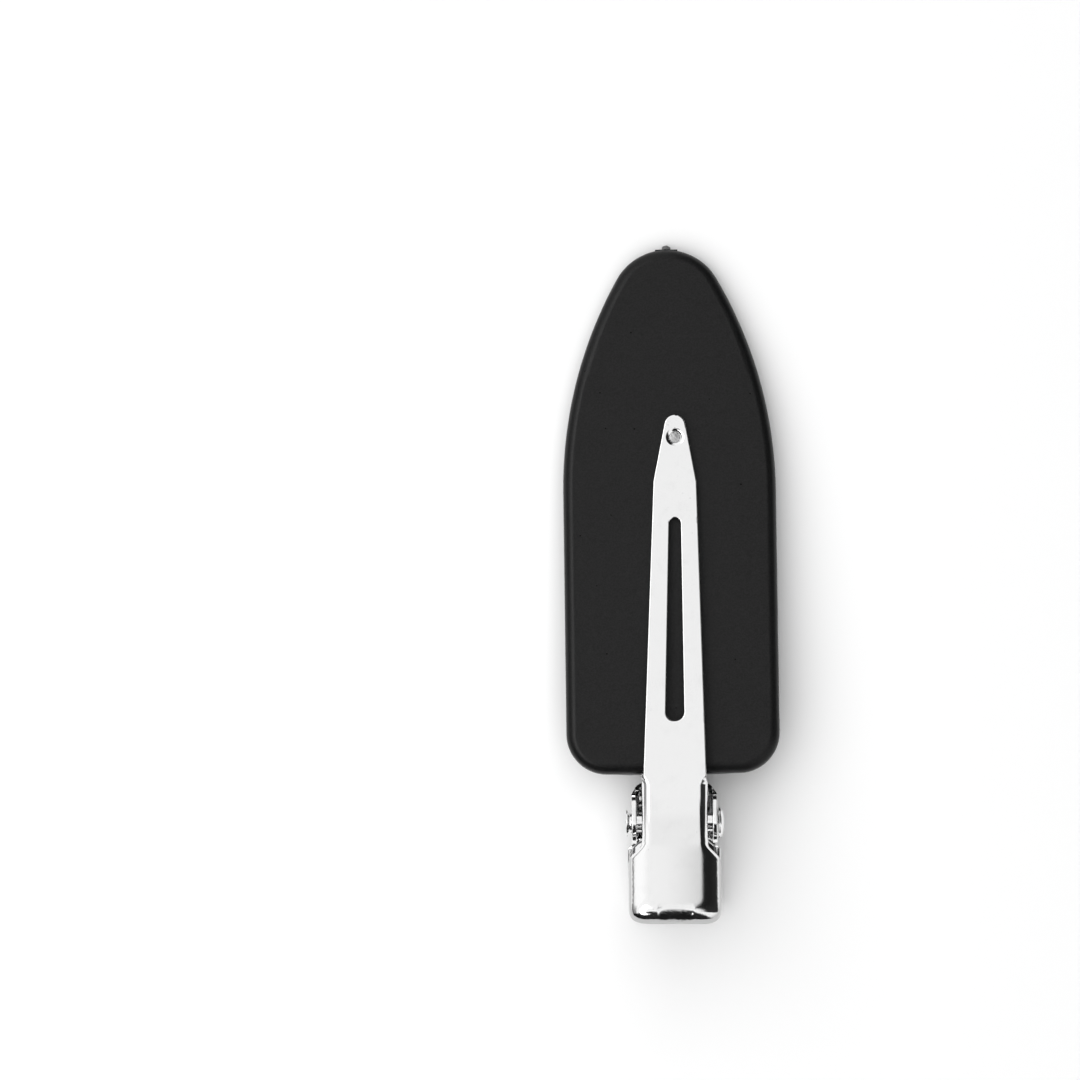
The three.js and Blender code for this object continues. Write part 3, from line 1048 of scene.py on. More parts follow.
    def side_station(self, place: float) -> Station:
        """Sets out the bend on the arm's side.

        Args:
            place: The place along the sheet.

        Returns:
            The station.
        """
        lean = self.flare.at(place)
        station = Station(
            across=0.0,
            place=place,
            outward=(1.0, 0.0),
            reach=self.reach.at(place),
            drop=self.drop.at(place),
            depth=self.flange_depth(place),
            flare=lean,
            splay=lean,
            slot=self.slot_half(place),
            strain=self.strain.at(place),
        )
        return replace(station, across=self.half_width(place) - station.spread)

    @property
    def corner_start(self) -> float:
        """The place where the flat web's corners begin."""
        lean = self.tab_flare
        end = Station(0.0, 0.0, (0.0, -1.0), self.end_reach, self.tab_drop, self.rim_depth, lean, lean)
        return self.tab_end + end.spread + self.flat_corner

    def bow(self, place: float, share: float) -> float:
        """How far a row bows towards the front, at a share of the way out from the middle line."""
        taken = eased((self.corner_start - place) / self.bow_length + 1.0)
        return self.end_bow * taken * (1.0 - share ** self.bow_power)

    def corner_stations(self) -> list[Station]:
        """Sets out the bend round a corner of the tab.

        Returns:
            The stations, from the tab's side to its end.
        """
        first = self.side_station(self.corner_start)
        wide, long = first.spread + self.flat_corner, self.corner_start - self.tab_end
        stations = []
        for step in range(1, self.corner_steps + 1):
            turn = step / self.corner_steps * QUARTER
            cos, sin = math.cos(turn), math.sin(turn)
            power = self.corner_power
            away = ((cos / wide) ** power + (sin / long) ** power) ** (-1.0 / power)
            across = first.across - self.flat_corner * (1.0 - cos)
            place = self.corner_start - self.flat_corner * sin
            station = replace(first, across=across, place=place, outward=(cos, -sin))
            stations.append(station.spread_to(away - self.flat_corner))
        return stations

    def end_stations(self, last: Station) -> list[Station]:
        """Sets out the bend along the tab's end.

        Args:
            last: The corner's last station.

        Returns:
            The stations, up to the middle line.
        """
        stations = []
        for share in np.linspace(1.0, 0.0, self.columns + 1):
            bow = self.bow(last.place, share)
            station = replace(
                last,
                across=last.across * share,
                place=last.place + bow,
                outward=(0.0, -1.0),
                drop=last.drop + self.end_sink * (1.0 - share ** self.bow_power),
                strain=last.strain + (self.end_strain - last.strain) * (1.0 - share ** self.bow_power),
            )
            stations.append(station.spread_to(last.spread + bow))
        return stations

    def sag(self, across: float, place: float) -> float:
        """How far the web sags under its flat plane."""
        return self.crown.at(place) * (across / self.half_width(place)) ** 2

    def point(self, across: float, place: float, depth: float) -> Triple:
        """A point of the pressing from its developed plan and its depth."""
        along, up = self.path.point(place, depth + self.sag(abs(across), place))
        return across, along, up

    def flange_profile(self, station: Station) -> list[tuple[float, ...]]:
        """Draws the section over the bend and down the flange.

        Args:
            station: Where it is drawn.

        Returns:
            Steps of outward and down on the outer and the inner face, and the strain.
        """
        profile = []
        for step in range(self.bend_steps + self.flange_steps + 1):
            angle = station.turn * min(step / self.bend_steps, 1.0)
            out, down = station.reach * math.sin(angle), station.drop * (1.0 - math.cos(angle))
            straight = (station.depth - down) * max(step - self.bend_steps, 0) / self.flange_steps
            strain = station.strain * math.sin(angle)
            out, down = out + straight * math.tan(station.splay), down + straight
            if straight > WELD:
                normal = np.array((math.cos(station.splay), -math.sin(station.splay)))
            else:
                normal = np.array((station.drop * math.sin(angle), -station.reach * math.cos(angle)))
            inward = normal * (self.sheet / np.hypot(*normal))
            profile.append((out, down, out - inward[0], down - inward[1], strain))
        return profile

    def flange(self, station: Station, side: int) -> list[tuple[float, ...]]:
        """Places the section over the bend at a station.

        Args:
            station: Where it lies.
            side: 1 on the right, -1 on the left.

        Returns:
            For each point, the two faces' coordinates and the strain.
        """
        points = []
        for outer_out, outer_down, inner_out, inner_down, strain in self.flange_profile(station):
            numbers = []
            for out, down in ((outer_out, outer_down), (inner_out, inner_down)):
                across = side * (station.across + station.outward[0] * out)
                numbers += self.point(across, station.place + station.outward[1] * out, down)
            points.append((*numbers, strain))
        return points

    def web_row(self, station: Station, side: int) -> list[tuple[float, ...]]:
        """Places the web from the middle line or slot out to a station.

        Args:
            station: Where the row ends.
            side: 1 on the right, -1 on the left.

        Returns:
            For each point, the two faces' coordinates and the strain.
        """
        shares = np.linspace(0.0, 1.0, self.columns + 1)
        row = []
        for share in shares:
            across = side * (station.slot + (station.across - station.slot) * share)
            place = station.place + self.bow(station.place, share)
            row.append((*self.point(across, place, 0.0), *self.point(across, place, self.sheet), 0.0))
        return row

    def drawn_sheet(self, name: str) -> bpy.types.Object:
        """Draws the pressing as a sheet with rounded edges and no hole.

        Args:
            name: The object's name.

        Returns:
            The object.
        """
        stations = [self.side_station(place) for place in self.stations_along()]
        stations += self.corner_stations()
        ends = self.end_stations(stations[-1])
        draft = MeshDraft()
        for side in (1, -1):
            draft.grid(np.array([self.web_row(station, side) for station in stations]), side > 0)
            draft.grid(np.array([self.flange(station, side) for station in stations]), side > 0)
            draft.grid(np.array([self.flange(station, side) for station in ends]), side > 0)
        return draft.sheet(name, self.edge_softness)

    def rivet_hole(self) -> bpy.types.Object:
        """Makes a round bar along the rivet's axis, to cut the ears' holes with.

        Returns:
            The tool.
        """
        far = 4.0 * self.ear_radius
        draft = MeshDraft()
        profile = [(0.0, -far), (self.hole_radius, -far), (self.hole_radius, far), (0.0, far)]
        draft.grid(lathe(profile, self.round_sides), closed=True)
        return draft.solid("rivet_hole")

    def pressing(self, name: str) -> bpy.types.Object:
        """Draws the arm's sheet and cuts its rivet holes.

        Args:
            name: The object's name.

        Returns:
            The object.
        """
        piece = self.drawn_sheet(name)
        combine(piece, self.rivet_hole(), Join.CUT)
        return piece


@dataclass
class UpperArm(PressedArm):
    """The arm behind the plate: ears outside, a finger tab, and a tongue in the plate's pocket.

    Attributes:
        tilt: The web's and tab's slope against the plate.
        web_height: Height of the web's outer face over the pivot.
        ear_width: Width over the ears.
        ear_front: Front end of the ears along the web.
        ear_lead: How far behind their rear edge the ears have their full width.
        ear_corner: Length over which the ears draw in at their front, down at the web.
        ear_lean: The most that the ears lean out there, in radians.
        tab_width: Width of the tab.
        tab_reach: Distance of the tab's end behind the pivot.
        waist_width: Width of the waist between ears and tab.
        waist_at: Distance of the waist behind the pivot.
        shoulder: Length of the curve from waist to tab.
        tongue_width: Width of the tongue.
        tongue_height: Height of the tongue's outer face over the pivot.
        tongue_seat: Where the tongue's straight part starts.
        tongue_end: Where the tongue ends.
        step_radii: Outer radii of the two bends down to the tongue.
        seat_run: Length of the tongue with close rows, from its straight part's start.
        rear_run: Length of the ears' rear with close rows.
        row_counts: Rows in each stretch from the tongue's end to the tab's corners.
    """

    ear_stretch: float = 1.3
    rim_depth: float = 1.3
    tilt: float = math.radians(20.0)
    web_height: float = 3.15
    ear_width: float = 8.0
    ear_front: float = 3.2
    ear_lead: float = 0.1
    ear_corner: float = 1.7
    ear_lean: float = math.radians(16.0)
    tab_width: float = 8.7
    tab_reach: float = 9.85
    waist_width: float = 6.5
    waist_at: float = 1.7
    waist_depth: float = 0.9
    shoulder: float = 1.45
    tongue_width: float = 5.8
    tongue_height: float = 1.12
    tongue_seat: float = 4.5
    tongue_end: float = 15.6
    step_radii: Pair = (0.9, 0.6)
    seat_run: float = 1.0
    rear_run: float = 0.4
    row_counts: tuple[int, ...] = (12, 24, 24, 24, 12, 8, 26, 26)

    def __post_init__(self) -> None:
        """Lays the web's path and the sizes along it."""
        rear = on_line(-2.0 * self.tab_reach, self.web_height, -self.tilt)
        step = on_line(self.ear_front, self.web_height, -self.tilt)
        seat = (self.tongue_seat, self.tongue_height)
        end = (self.tongue_end, self.tongue_height)
        self.path = SheetPath((rear, step, seat, end), self.step_radii, 1)
        waist = self.along(-self.waist_at)
        shoulder = waist - self.shoulder
        self.tab_end = self.along(-self.tab_reach)
        self.ear_span = (waist, 0.0)
        self.width = KeyedSize((
            (shoulder, self.tab_width / 2.0),
            (waist - self.ear_lead - self.back_fade, self.waist_width / 2.0),
            (waist - self.ear_lead, self.ear_width / 2.0),
        ))
        self.shape_flanges(shoulder, waist - self.back_fade, waist)

    def half_width(self, place: float) -> float:
        """Half the width of the arm over the bend, which draws in at the ears' front.

        Args:
            place: The place along the sheet.

        Returns:
            Half the width.
        """
        share = min(max(1.0 + place / self.ear_corner, 0.0), 1.0)
        round_off = 1.0 - math.sqrt(1.0 - share ** 2)
        return self.width.at(place) + (self.tongue_width - self.ear_width) / 2.0 * round_off

    def side_station(self, place: float) -> Station:
        """Sets out the bend, where an ear that draws in at the web leans out to its edge.

        Args:
            place: The place along the sheet.

        Returns:
            The station.
        """
        station = super().side_station(place)
        if place < self.ear_span[0]:
            return station
        straight = station.depth - station.drop * (1.0 - math.cos(station.turn))
        lean = math.atan2(self.width.at(place) - self.half_width(place), max(straight, WELD))
        return replace(station, splay=min(lean, self.ear_lean))

    def along(self, distance: float) -> float:
        """The place along the sheet of a distance along the web, from the pivot."""
        return distance - self.ear_front

    def stations_along(self) -> np.ndarray:
        """Sets out the rows from the tongue's end to the tab's corners.

        Returns:
            Their places.
        """
        waist = self.ear_span[0]
        marks = (
            self.path.places[-1],
            self.path.places[2] + self.seat_run,
            self.front_fade,
            -self.ear_corner,
            waist + self.rear_run,
            waist,
            waist - self.back_fade,
            waist - self.shoulder,
            self.corner_start,
        )
        return rows_between(marks, self.row_counts)

    def build(self, placing: ClipFrame, finish: Finish) -> None:
        """Builds and dresses the arm, turned over to the plate's outer side.

        Args:
            placing: The clip's place in the row frame.
            finish: The piece's finish.
        """
        piece = self.pressing("upper_arm_pressing")
        piece.data.transform(Matrix.Rotation(math.pi, 4, "Y"))
        finish_mesh(piece, placing, self.crease)
        dress(piece, "upper_arm", Body.COVER, finish)


@dataclass
class LowerArm(PressedArm):
    """The arm with the jaw: ears inside the upper arm's, a finger tab, and a long slotted jaw.

    Attributes:
        tilt: The tab's slope against the plate.
        web_height: Height of the tab's and jaw's outer faces over the pivot.
        bend_radius: Radius of the bend between tab and jaw, on the outer face.
        ear_width: Width over the ears.
        ear_front: Front end of the ears along the jaw.
        tab_width: Width of the tab.
        tab_reach: Distance of the tab's end behind the pivot.
        waist_width: Width of the waist between ears and tab.
        waist_at: Distance of the waist behind the pivot.
        waist_run: Length over which the ears take their width before the waist.
        shoulder: Length of the curve from waist to tab.
        slack: Turn of the arm on its rivet, in the play of the holes, in radians.
        jaw_reach: Distance of the jaw's tip before the pivot.
        jaw_root: Width of the jaw at the ears.
        kink_at: Where the jaw starts to narrow faster.
        kink_width: Width of the jaw there.
        nose_radius: Radius of the jaw's tip.
        jaw_gap: Gap between the dimple and the plate.
        plate_face: Height of the plate's inner face over the pivot.
        slot_span: Where the slot starts and ends.
        slot_widths: The slot's width at its two ends.
        dimple_setback: Distance of the dimple behind the tip.
        dimple_radius: Radius of the dimple's floor.
        dimple_depth: How far the dimple stands out under the jaw.
        dimple_recess: How deep it is on top.
        dimple_lip: Width of the drawn lip round it.
        dimple_crown: How far its floor rises in the middle, as a share of the recess.
        dimple_turns: Where the lip's round starts and ends, in radians.
        dimple_strain: How hard the dimple's floor was worked.
        button_edge: Radius of the button's edge under the jaw.
        button_root: How far the button reaches into the sheet.
        tool_gap: Room that the tools leave beside the lip and the button.
        dimple_steps: Steps round the lip, the floor and the button's edge.
        round_rows: Rows round the jaw's tip and the slot's ends.
        jaw_rows: Rows from the tip to the kink, to the slot, along it, to the fade and over the fade.
        tab_rows: Rows along the ears, over the shoulder and along the tab.
    """

    tilt: float = math.radians(19.0)
    web_height: float = 2.9
    bend_radius: float = 12.0
    ear_width: float = 6.15
    ear_front: float = 3.45
    tab_width: float = 8.65
    tab_reach: float = 10.55
    waist_width: float = 6.2
    waist_at: float = 3.0
    waist_depth: float = 1.0
    waist_run: float = 1.0
    shoulder: float = 1.5
    slack: float = math.radians(0.85)
    jaw_reach: float = 38.15
    jaw_root: float = 5.94
    kink_at: float = 31.83
    kink_width: float = 4.05
    nose_radius: float = 1.0
    jaw_gap: float = 0.1
    plate_face: float = 1.0
    slot_span: Pair = (9.31, 28.42)
    slot_widths: Pair = (1.72, 1.08)
    dimple_setback: float = 2.1
    dimple_radius: float = 0.5
    dimple_depth: float = 0.25
    dimple_recess: float = 0.28
    dimple_lip: float = 0.42
    dimple_crown: float = 0.1
    dimple_turns: Pair = (math.radians(8.0), math.radians(76.0))
    dimple_strain: float = 1.5
    button_edge: float = 0.12
    button_root: float = 0.1
    tool_gap: float = 0.02
    dimple_steps: tuple[int, int, int] = (12, 16, 6)
    round_rows: int = 14
    jaw_rows: tuple[int, int, int, int, int] = (14, 8, 30, 14, 12)
    tab_rows: tuple[int, int, int] = (60, 36, 30)
    dimple_at: float = field(init=False)
    slope: float = field(init=False)
    lead: float = field(init=False)

    def __post_init__(self) -> None:
        """Lays the web's path and the sizes along it."""
        self.dimple_at = self.jaw_reach - self.dimple_setback
        bottom = self.web_height - self.sheet - self.dimple_depth
        slope = -turn_to_reach(bottom, self.dimple_at, self.plate_face + self.jaw_gap)
        self.slope = slope
        self.lead = self.web_height * math.tan((self.tilt - slope) / 2.0)
        rear = on_line(-2.0 * self.tab_reach, self.web_height, -self.tilt)
        corner = on_line(self.lead, self.web_height, -slope)
        tip = on_line(self.jaw_reach, self.web_height, -slope)
        self.path = SheetPath((rear, corner, tip), (self.bend_radius,), 1)
        waist = self.on_tab(-self.waist_at)
        shoulder = waist - self.shoulder
        front = self.on_jaw(self.ear_front)
        self.tab_end = self.on_tab(-self.tab_reach)
        self.ear_span = (waist, front)
        self.width = KeyedSize((
            (shoulder, self.tab_width / 2.0),
            (waist, self.waist_width / 2.0),
            (waist + self.waist_run, self.ear_width / 2.0),
            (front, self.ear_width / 2.0),
            (front + self.front_fade, self.jaw_half(self.ear_front + self.front_fade)),
        ))
        self.shape_flanges(shoulder, waist, waist)

    def on_jaw(self, distance: float) -> float:
        """The place along the sheet of a distance along the jaw, from the pivot."""
        return distance - self.lead

    def on_tab(self, distance: float) -> float:
        """The place along the sheet of a distance along the tab, from the pivot."""
        return distance + self.lead

    def jaw_half(self, distance: float) -> float:
        """Half the jaw's width, without the rounding on its edge.

        Args:
            distance: The distance before the pivot.

        Returns:
            Half the width.
        """
        inset = self.edge_softness
        root, kink = self.jaw_root / 2.0 - inset, self.kink_width / 2.0 - inset
        if distance < self.kink_at:
            share = (distance - self.ear_front) / (self.kink_at - self.ear_front)
            return root + (kink - root) * share
        centre, nose = self.jaw_reach - self.nose_radius, self.nose_radius - inset
        away = centre - self.kink_at
        turn = math.acos(nose / math.hypot(kink, away)) - math.atan2(away, kink)
        touch = (nose * math.cos(turn), centre + nose * math.sin(turn))
        if distance < touch[1]:
            share = (distance - self.kink_at) / (touch[1] - self.kink_at)
            return kink + (touch[0] - kink) * share
        return math.sqrt(max(nose ** 2 - (distance - centre) ** 2, 0.0))

    def half_width(self, place: float) -> float:
        """Half the width of the arm as seen from above.

        Args:
            place: The place along the sheet.

        Returns:
            Half the width.
        """
        if place > self.ear_span[1] + self.front_fade:
            return max(self.jaw_half(place + self.lead), WELD)
        return self.width.at(place)

    @property
    def slot_cut(self) -> tuple[Pair, Pair]:
        """The slot's span and widths in the web, before the rounding on its edge is added."""
        (root, tip), (wide, narrow), inset = self.slot_span, self.slot_widths, self.edge_softness
        return (root - inset, tip + inset), (wide + 2.0 * inset, narrow + 2.0 * inset)

    def slot_half(self, place: float) -> float:
        """Half the width of the slot in the jaw, with round ends.

        Args:
            place: The place along the sheet.

        Returns:
            Half the width.
        """
        distance = place + self.lead
        (root, tip), (wide, narrow) = self.slot_cut
        ends = (root + wide / 2.0, tip - narrow / 2.0)
        if not root < distance < tip:
            return 0.0
        if distance < ends[0]:
            return math.sqrt(max((wide / 2.0) ** 2 - (distance - ends[0]) ** 2, 0.0))
        if distance > ends[1]:
            return math.sqrt(max((narrow / 2.0) ** 2 - (distance - ends[1]) ** 2, 0.0))
        share = (distance - ends[0]) / (ends[1] - ends[0])
        return (wide + (narrow - wide) * share) / 2.0

    def stations_along(self) -> np.ndarray:
        """Sets out the rows from the jaw's tip to the tab's corners.

        Returns:
            Their places.
        """
        (root, tip), (wide, narrow) = self.slot_cut
        to_kink, to_slot, by_slot, to_fade, on_fade = self.jaw_rows
        on_ears, on_shoulder, on_tab = self.tab_rows
        quarter = np.linspace(0.0, QUARTER, self.round_rows)
        nose_radius = self.nose_radius - self.edge_softness
        nose = self.jaw_reach - self.edge_softness - nose_radius * (1.0 - np.cos(quarter))
        slot_tip = tip - narrow / 2.0 * (1.0 - np.cos(quarter))
        slot_root = root + wide / 2.0 * (1.0 - np.cos(quarter[::-1]))
        fade = self.ear_front + self.front_fade
        jaw = np.concatenate([
            nose,
            np.linspace(nose[-1], self.kink_at, to_kink)[1:],
            np.linspace(self.kink_at, tip, to_slot)[1:-1],
            slot_tip,
            np.linspace(slot_tip[-1], slot_root[0], by_slot)[1:-1],
            slot_root,
            np.linspace(root, fade, to_fade)[1:],
            np.linspace(fade, self.ear_front, on_fade)[1:],
        ])
        waist = self.ear_span[0]
        shoulder = waist - self.shoulder
        handle = np.concatenate([
            np.linspace(self.ear_span[1], waist, on_ears)[1:],
            np.linspace(waist, shoulder, on_shoulder)[1:],
            np.linspace(shoulder, self.corner_start, on_tab)[1:],
        ])
        return np.concatenate([self.on_jaw(jaw), handle])

    def at_dimple(self, draft: MeshDraft, name: str) -> bpy.types.Object:
        """Stands a round tool, drawn about the X axis, on the jaw's outer face at the dimple.

        Args:
            draft: The tool's draft.
            name: The object's name.

        Returns:
            The tool.
        """
        along, up = self.path.point(self.on_jaw(self.dimple_at), 0.0)
        tool = draft.solid(name)
        stand = Matrix.Rotation(-QUARTER, 4, "Y")
        slope = Matrix.Rotation(-self.slope, 4, "X")
        tool.data.transform(Matrix.Translation((0.0, along, up)) @ slope @ stand)
        return tool

    def press_dimple(self, piece: bpy.types.Object) -> None:
        """Presses the dimple's recess into the jaw and its button out under it.

        Args:
            piece: The arm.
        """
        radius, depth, edge = self.dimple_radius, self.dimple_recess, self.button_edge
        on_lip, on_floor, on_edge = self.dimple_steps
        lip = [
            (radius + self.dimple_lip * (1.0 - math.sin(turn)), -depth * (1.0 - math.cos(turn)))
            for turn in np.linspace(*self.dimple_turns, on_lip)
        ]
        crown = [
            (radius * math.sin(turn), -depth * (1.0 - self.dimple_crown * math.cos(turn)))
            for turn in np.linspace(QUARTER, 0.0, on_floor)
        ]
        mouth = lip[0][0] + self.tool_gap
        recess = [(0.0, self.sheet), (mouth, self.sheet), (mouth, self.tool_gap), *lip, *crown]
        under = -self.sheet - self.dimple_depth
        root, wide = -self.sheet + self.button_root, radius - self.tool_gap
        button = [(0.0, root), (wide, root)]
        button += [
            (wide - edge * (1.0 - math.cos(turn)), under + edge * (1.0 - math.sin(turn)))
            for turn in np.linspace(0.0, QUARTER, on_edge)
        ]
        button.append((0.0, under))
        for profile, name, join in ((button, "button", Join.ADD), (recess, "recess", Join.CUT)):
            draft = MeshDraft()
            draft.grid(lathe(profile, self.round_sides), closed=True)
            combine(piece, self.at_dimple(draft, name), join)
        along, up = self.path.point(self.on_jaw(self.dimple_at), self.sheet)
        axis = Vector((0.0, along, up)), Vector((0.0, math.sin(self.slope), math.cos(self.slope)))
        work(piece, axis, (0.0, 2.0 * radius), 0.0)
        work(piece, axis, (0.0, radius - WELD), self.dimple_strain)

    def build(self, placing: ClipFrame, finish: Finish) -> None:
        """Builds and dresses the arm.

        Args:
            placing: The clip's place in the row frame.
            finish: The piece's finish.
        """
        piece = self.pressing("lower_arm_pressing")
        self.press_dimple(piece)
        piece.data.transform(Matrix.Rotation(-self.slack, 4, "Z"))
        finish_mesh(piece, placing, self.crease)
        dress(piece, "lower_arm", Body.JAW, finish)


@dataclass
class CoverPlate:
    """The moulded plate: a bullet outline, rounded edges, and a bump with the pocket for the tongue.

    Attributes:
        width: Width between the straight sides.
        butt: Distance of the butt end before the pivot.
        length: Length from butt to nose.
        inner_face: Height of the jaw's side over the pivot.
        thickness: Thickness of the slab.
        butt_corner: Radius of the butt's corners in plan.
        ogive: Radius of the long arcs in plan.
        nose: Radius of the nose in plan.
        inner_edge: Radius of the edge on the jaw's side.
        outer_edge: Radius of the edge on the outer side.
        nub: Width, length and thickness of the gate's stub on the nose.
        land: Width and height over the nose's tip of the flat land under the stub.
        lump_waves: Waves of the torn stub each way.
        lump_shifts: Shifts of those waves across and up.
        lump_height: Height of those waves, as a share of the stub's size.
        bump_top: Width and length of the bump's flat top.
        bump_slope: Width of the bump's sloping sides.
        bump_softness: Share of the slope that is rounded at its top and at its foot.
        bump_margin: Length with close rows beyond the bump.
        bump_corner: Radius of the top's corners.
        bump_height: Height of the bump over the outer face.
        pocket: Width, depth and height of the pocket.
        pocket_floor: Depth of the pocket under the jaw's side.
        pocket_lead: How far the pocket's tool stands out of the butt.
        fixed_half: Half the width in which the rows' columns stay parallel.
        fixed_columns: Columns in that half.
        side_columns: Columns between it and the edge.
        edge_steps: Steps round each edge.
        outline_rows: Rows round the butt's corner, beside the bump, to the ogive, on it and on the nose.
        crease: Edges that turn by more than this, in radians, stay sharp.
    """

    width: float = 20.0
    butt: float = 4.6
    length: float = 49.4
    inner_face: float = 1.0
    thickness: float = 2.0
    butt_corner: float = 3.8
    ogive: float = 40.8
    nose: float = 5.4
    inner_edge: float = 0.95
    outer_edge: float = 0.35
    nub: Triple = (0.86, 0.47, 1.0)
    land: Pair = (2.1, 0.02)
    lump_waves: Triple = (4.0, 5.0, 3.0)
    lump_shifts: Pair = (1.0, 2.0)
    lump_height: float = 0.13
    bump_top: Pair = (7.6, 12.8)
    bump_slope: float = 2.0
    bump_softness: float = 0.3
    bump_margin: float = 0.3
    bump_corner: float = 1.7
    bump_height: float = 1.64
    pocket: Triple = (6.04, 11.12, 0.69)
    pocket_floor: float = 1.55
    pocket_lead: float = 1.0
    fixed_half: float = 6.0
    fixed_columns: int = 40
    side_columns: int = 8
    edge_steps: int = 8
    outline_rows: tuple[int, int, int, int, int] = (15, 76, 12, 40, 30)
    crease: float = math.radians(55.0)

    @property
    def outer_face(self) -> float:
        """Height of the outer face over the pivot."""
        return self.inner_face - self.thickness

    def side_outline(self) -> list[Triple]:
        """Draws the right half's outline after the butt.

        Returns:
            Points (x, y) and the outward normal's angle.
        """
        half = self.width / 2.0
        sunk = self.ogive - half
        nose_centre = self.butt + self.length - self.nose
        ogive_start = nose_centre - math.sqrt((self.ogive - self.nose) ** 2 - sunk ** 2)
        meet = math.atan2(nose_centre - ogive_start, sunk)
        corner = self.butt + self.butt_corner
        on_corner, on_bump, on_side, on_ogive, on_nose = self.outline_rows
        stations = []
        for turn in np.linspace(-QUARTER, 0.0, on_corner):
            x = half - self.butt_corner * (1.0 - math.cos(turn))
            stations.append((x, corner + self.butt_corner * math.sin(turn), turn))
        bump_end = self.butt + self.bump_top[1] + self.bump_slope + self.bump_margin
        for y in np.linspace(corner, bump_end, on_bump)[1:]:
            stations.append((half, y, 0.0))
        for y in np.linspace(bump_end, ogive_start, on_side)[1:-1]:
            stations.append((half, y, 0.0))
        for turn in np.linspace(0.0, meet, on_ogive):
            y = ogive_start + self.ogive * math.sin(turn)
            stations.append((self.ogive * math.cos(turn) - sunk, y, turn))
        for turn in np.linspace(meet, QUARTER, on_nose)[1:]:
            y = nose_centre + self.nose * math.sin(turn)
            stations.append((self.nose * math.cos(turn), y, turn))
        return stations

    def columns(self, edge: float) -> np.ndarray:
        """Sets out the columns of a row.

        Args:
            edge: The row's end, from the middle line.

        Returns:
            Their places across.
        """
        fixed = np.linspace(-self.fixed_half, self.fixed_half, 2 * self.fixed_columns + 1)
        straight = self.width / 2.0 - self.butt_corner
        if edge < straight:
            return self.columns(straight) * (edge / straight)
        outer = np.linspace(self.fixed_half, edge, self.side_columns + 1)[1:]
        return np.concatenate([-outer[::-1], fixed, outer])

    def bump(self, x: float, y: float) -> float:
        """Height of the bump over the outer face.

        Args:
            x: Place across.
            y: Place along.

        Returns:
            The height.
        """
        half, end = self.bump_top[0] / 2.0, self.butt + self.bump_top[1]
        over = np.array((abs(x) - half + self.bump_corner, y - end + self.bump_corner))
        outside = np.hypot(*np.maximum(over, 0.0)) + min(over.max(), 0.0) - self.bump_corner
        share = min(max(outside / self.bump_slope, 0.0), 1.0)
        soft = self.bump_softness
        if share < soft:
            fall = share ** 2 / (2.0 * soft)
        elif share > 1.0 - soft:
            fall = 1.0 - soft - (1.0 - share) ** 2 / (2.0 * soft)
        else:
            fall = share - soft / 2.0
        return self.bump_height * (1.0 - fall / (1.0 - soft))

    def face(self, inset: float, height: float, bumped: bool) -> np.ndarray:
        """Lays rows of points over one face, from the butt to the nose.

        Args:
            inset: How far inside the outline it ends.
            height: Its height over the pivot.
            bumped: Whether the bump moves it.

        Returns:
            An array of rows, columns and coordinates.
        """
        rows = []
        for x, y, turn in self.side_outline():
            edge = max(x - inset * math.cos(turn), 0.0)
            along = y - inset * math.sin(turn)
            rows.append([
                (value, along, height - (self.bump(value, along) if bumped else 0.0))
                for value in self.columns(edge)
            ])
        return np.array(rows)

    def edge_profile(self) -> list[tuple[float, float, bool]]:
        """Draws the edge from the inner to the outer face.

        Returns:
            Steps of inset, height, and whether the bump moves them.
        """
        turns = np.linspace(0.0, QUARTER, self.edge_steps + 1)
        inner, outer = self.inner_edge, self.outer_edge
        profile = [
            (inner * (1.0 - math.sin(t)), self.inner_face - inner * (1.0 - math.cos(t)), False)
            for t in turns
        ]
        profile += [
            (outer * (1.0 - math.cos(t)), self.outer_face + outer * (1.0 - math.sin(t)), True)
            for t in turns
        ]
        return profile

    def rim(self) -> np.ndarray:
        """Lays points round the plate's edge, from the butt's left end round the nose and back.

        Returns:
            An array of rows, edge steps and coordinates.
        """
        straight = self.width / 2.0 - self.butt_corner
        right = self.side_outline()
        left = [(-x, y, math.pi - turn) for x, y, turn in reversed(right)]
        butt = [(x, self.butt, -QUARTER) for x in self.columns(straight)]
        rows = []
        for x, y, turn in [*butt, *right, *left]:
            row = []
            for inset, height, bumped in self.edge_profile():
                across, along = x - inset * math.cos(turn), y - inset * math.sin(turn)
                row.append((across, along, height - (self.bump(across, along) if bumped else 0.0)))
            rows.append(row)
        return np.array(rows)

    def box(self, name: str, low: Sequence[float], high: Sequence[float]) -> bpy.types.Object:
        """Makes a box as a tool.

        Args:
            name: The object's name.
            low: Its lowest corner.
            high: Its highest corner.

        Returns:
            The tool.
        """
        net = bmesh.new()
        size = Vector(high) - Vector(low)
        middle = (Vector(high) + Vector(low)) / 2.0
        placed = Matrix.Translation(middle) @ Matrix.Diagonal((*size, 1.0))
        bmesh.ops.create_cube(net, size=1.0, matrix=placed)
        return linked(name, net)

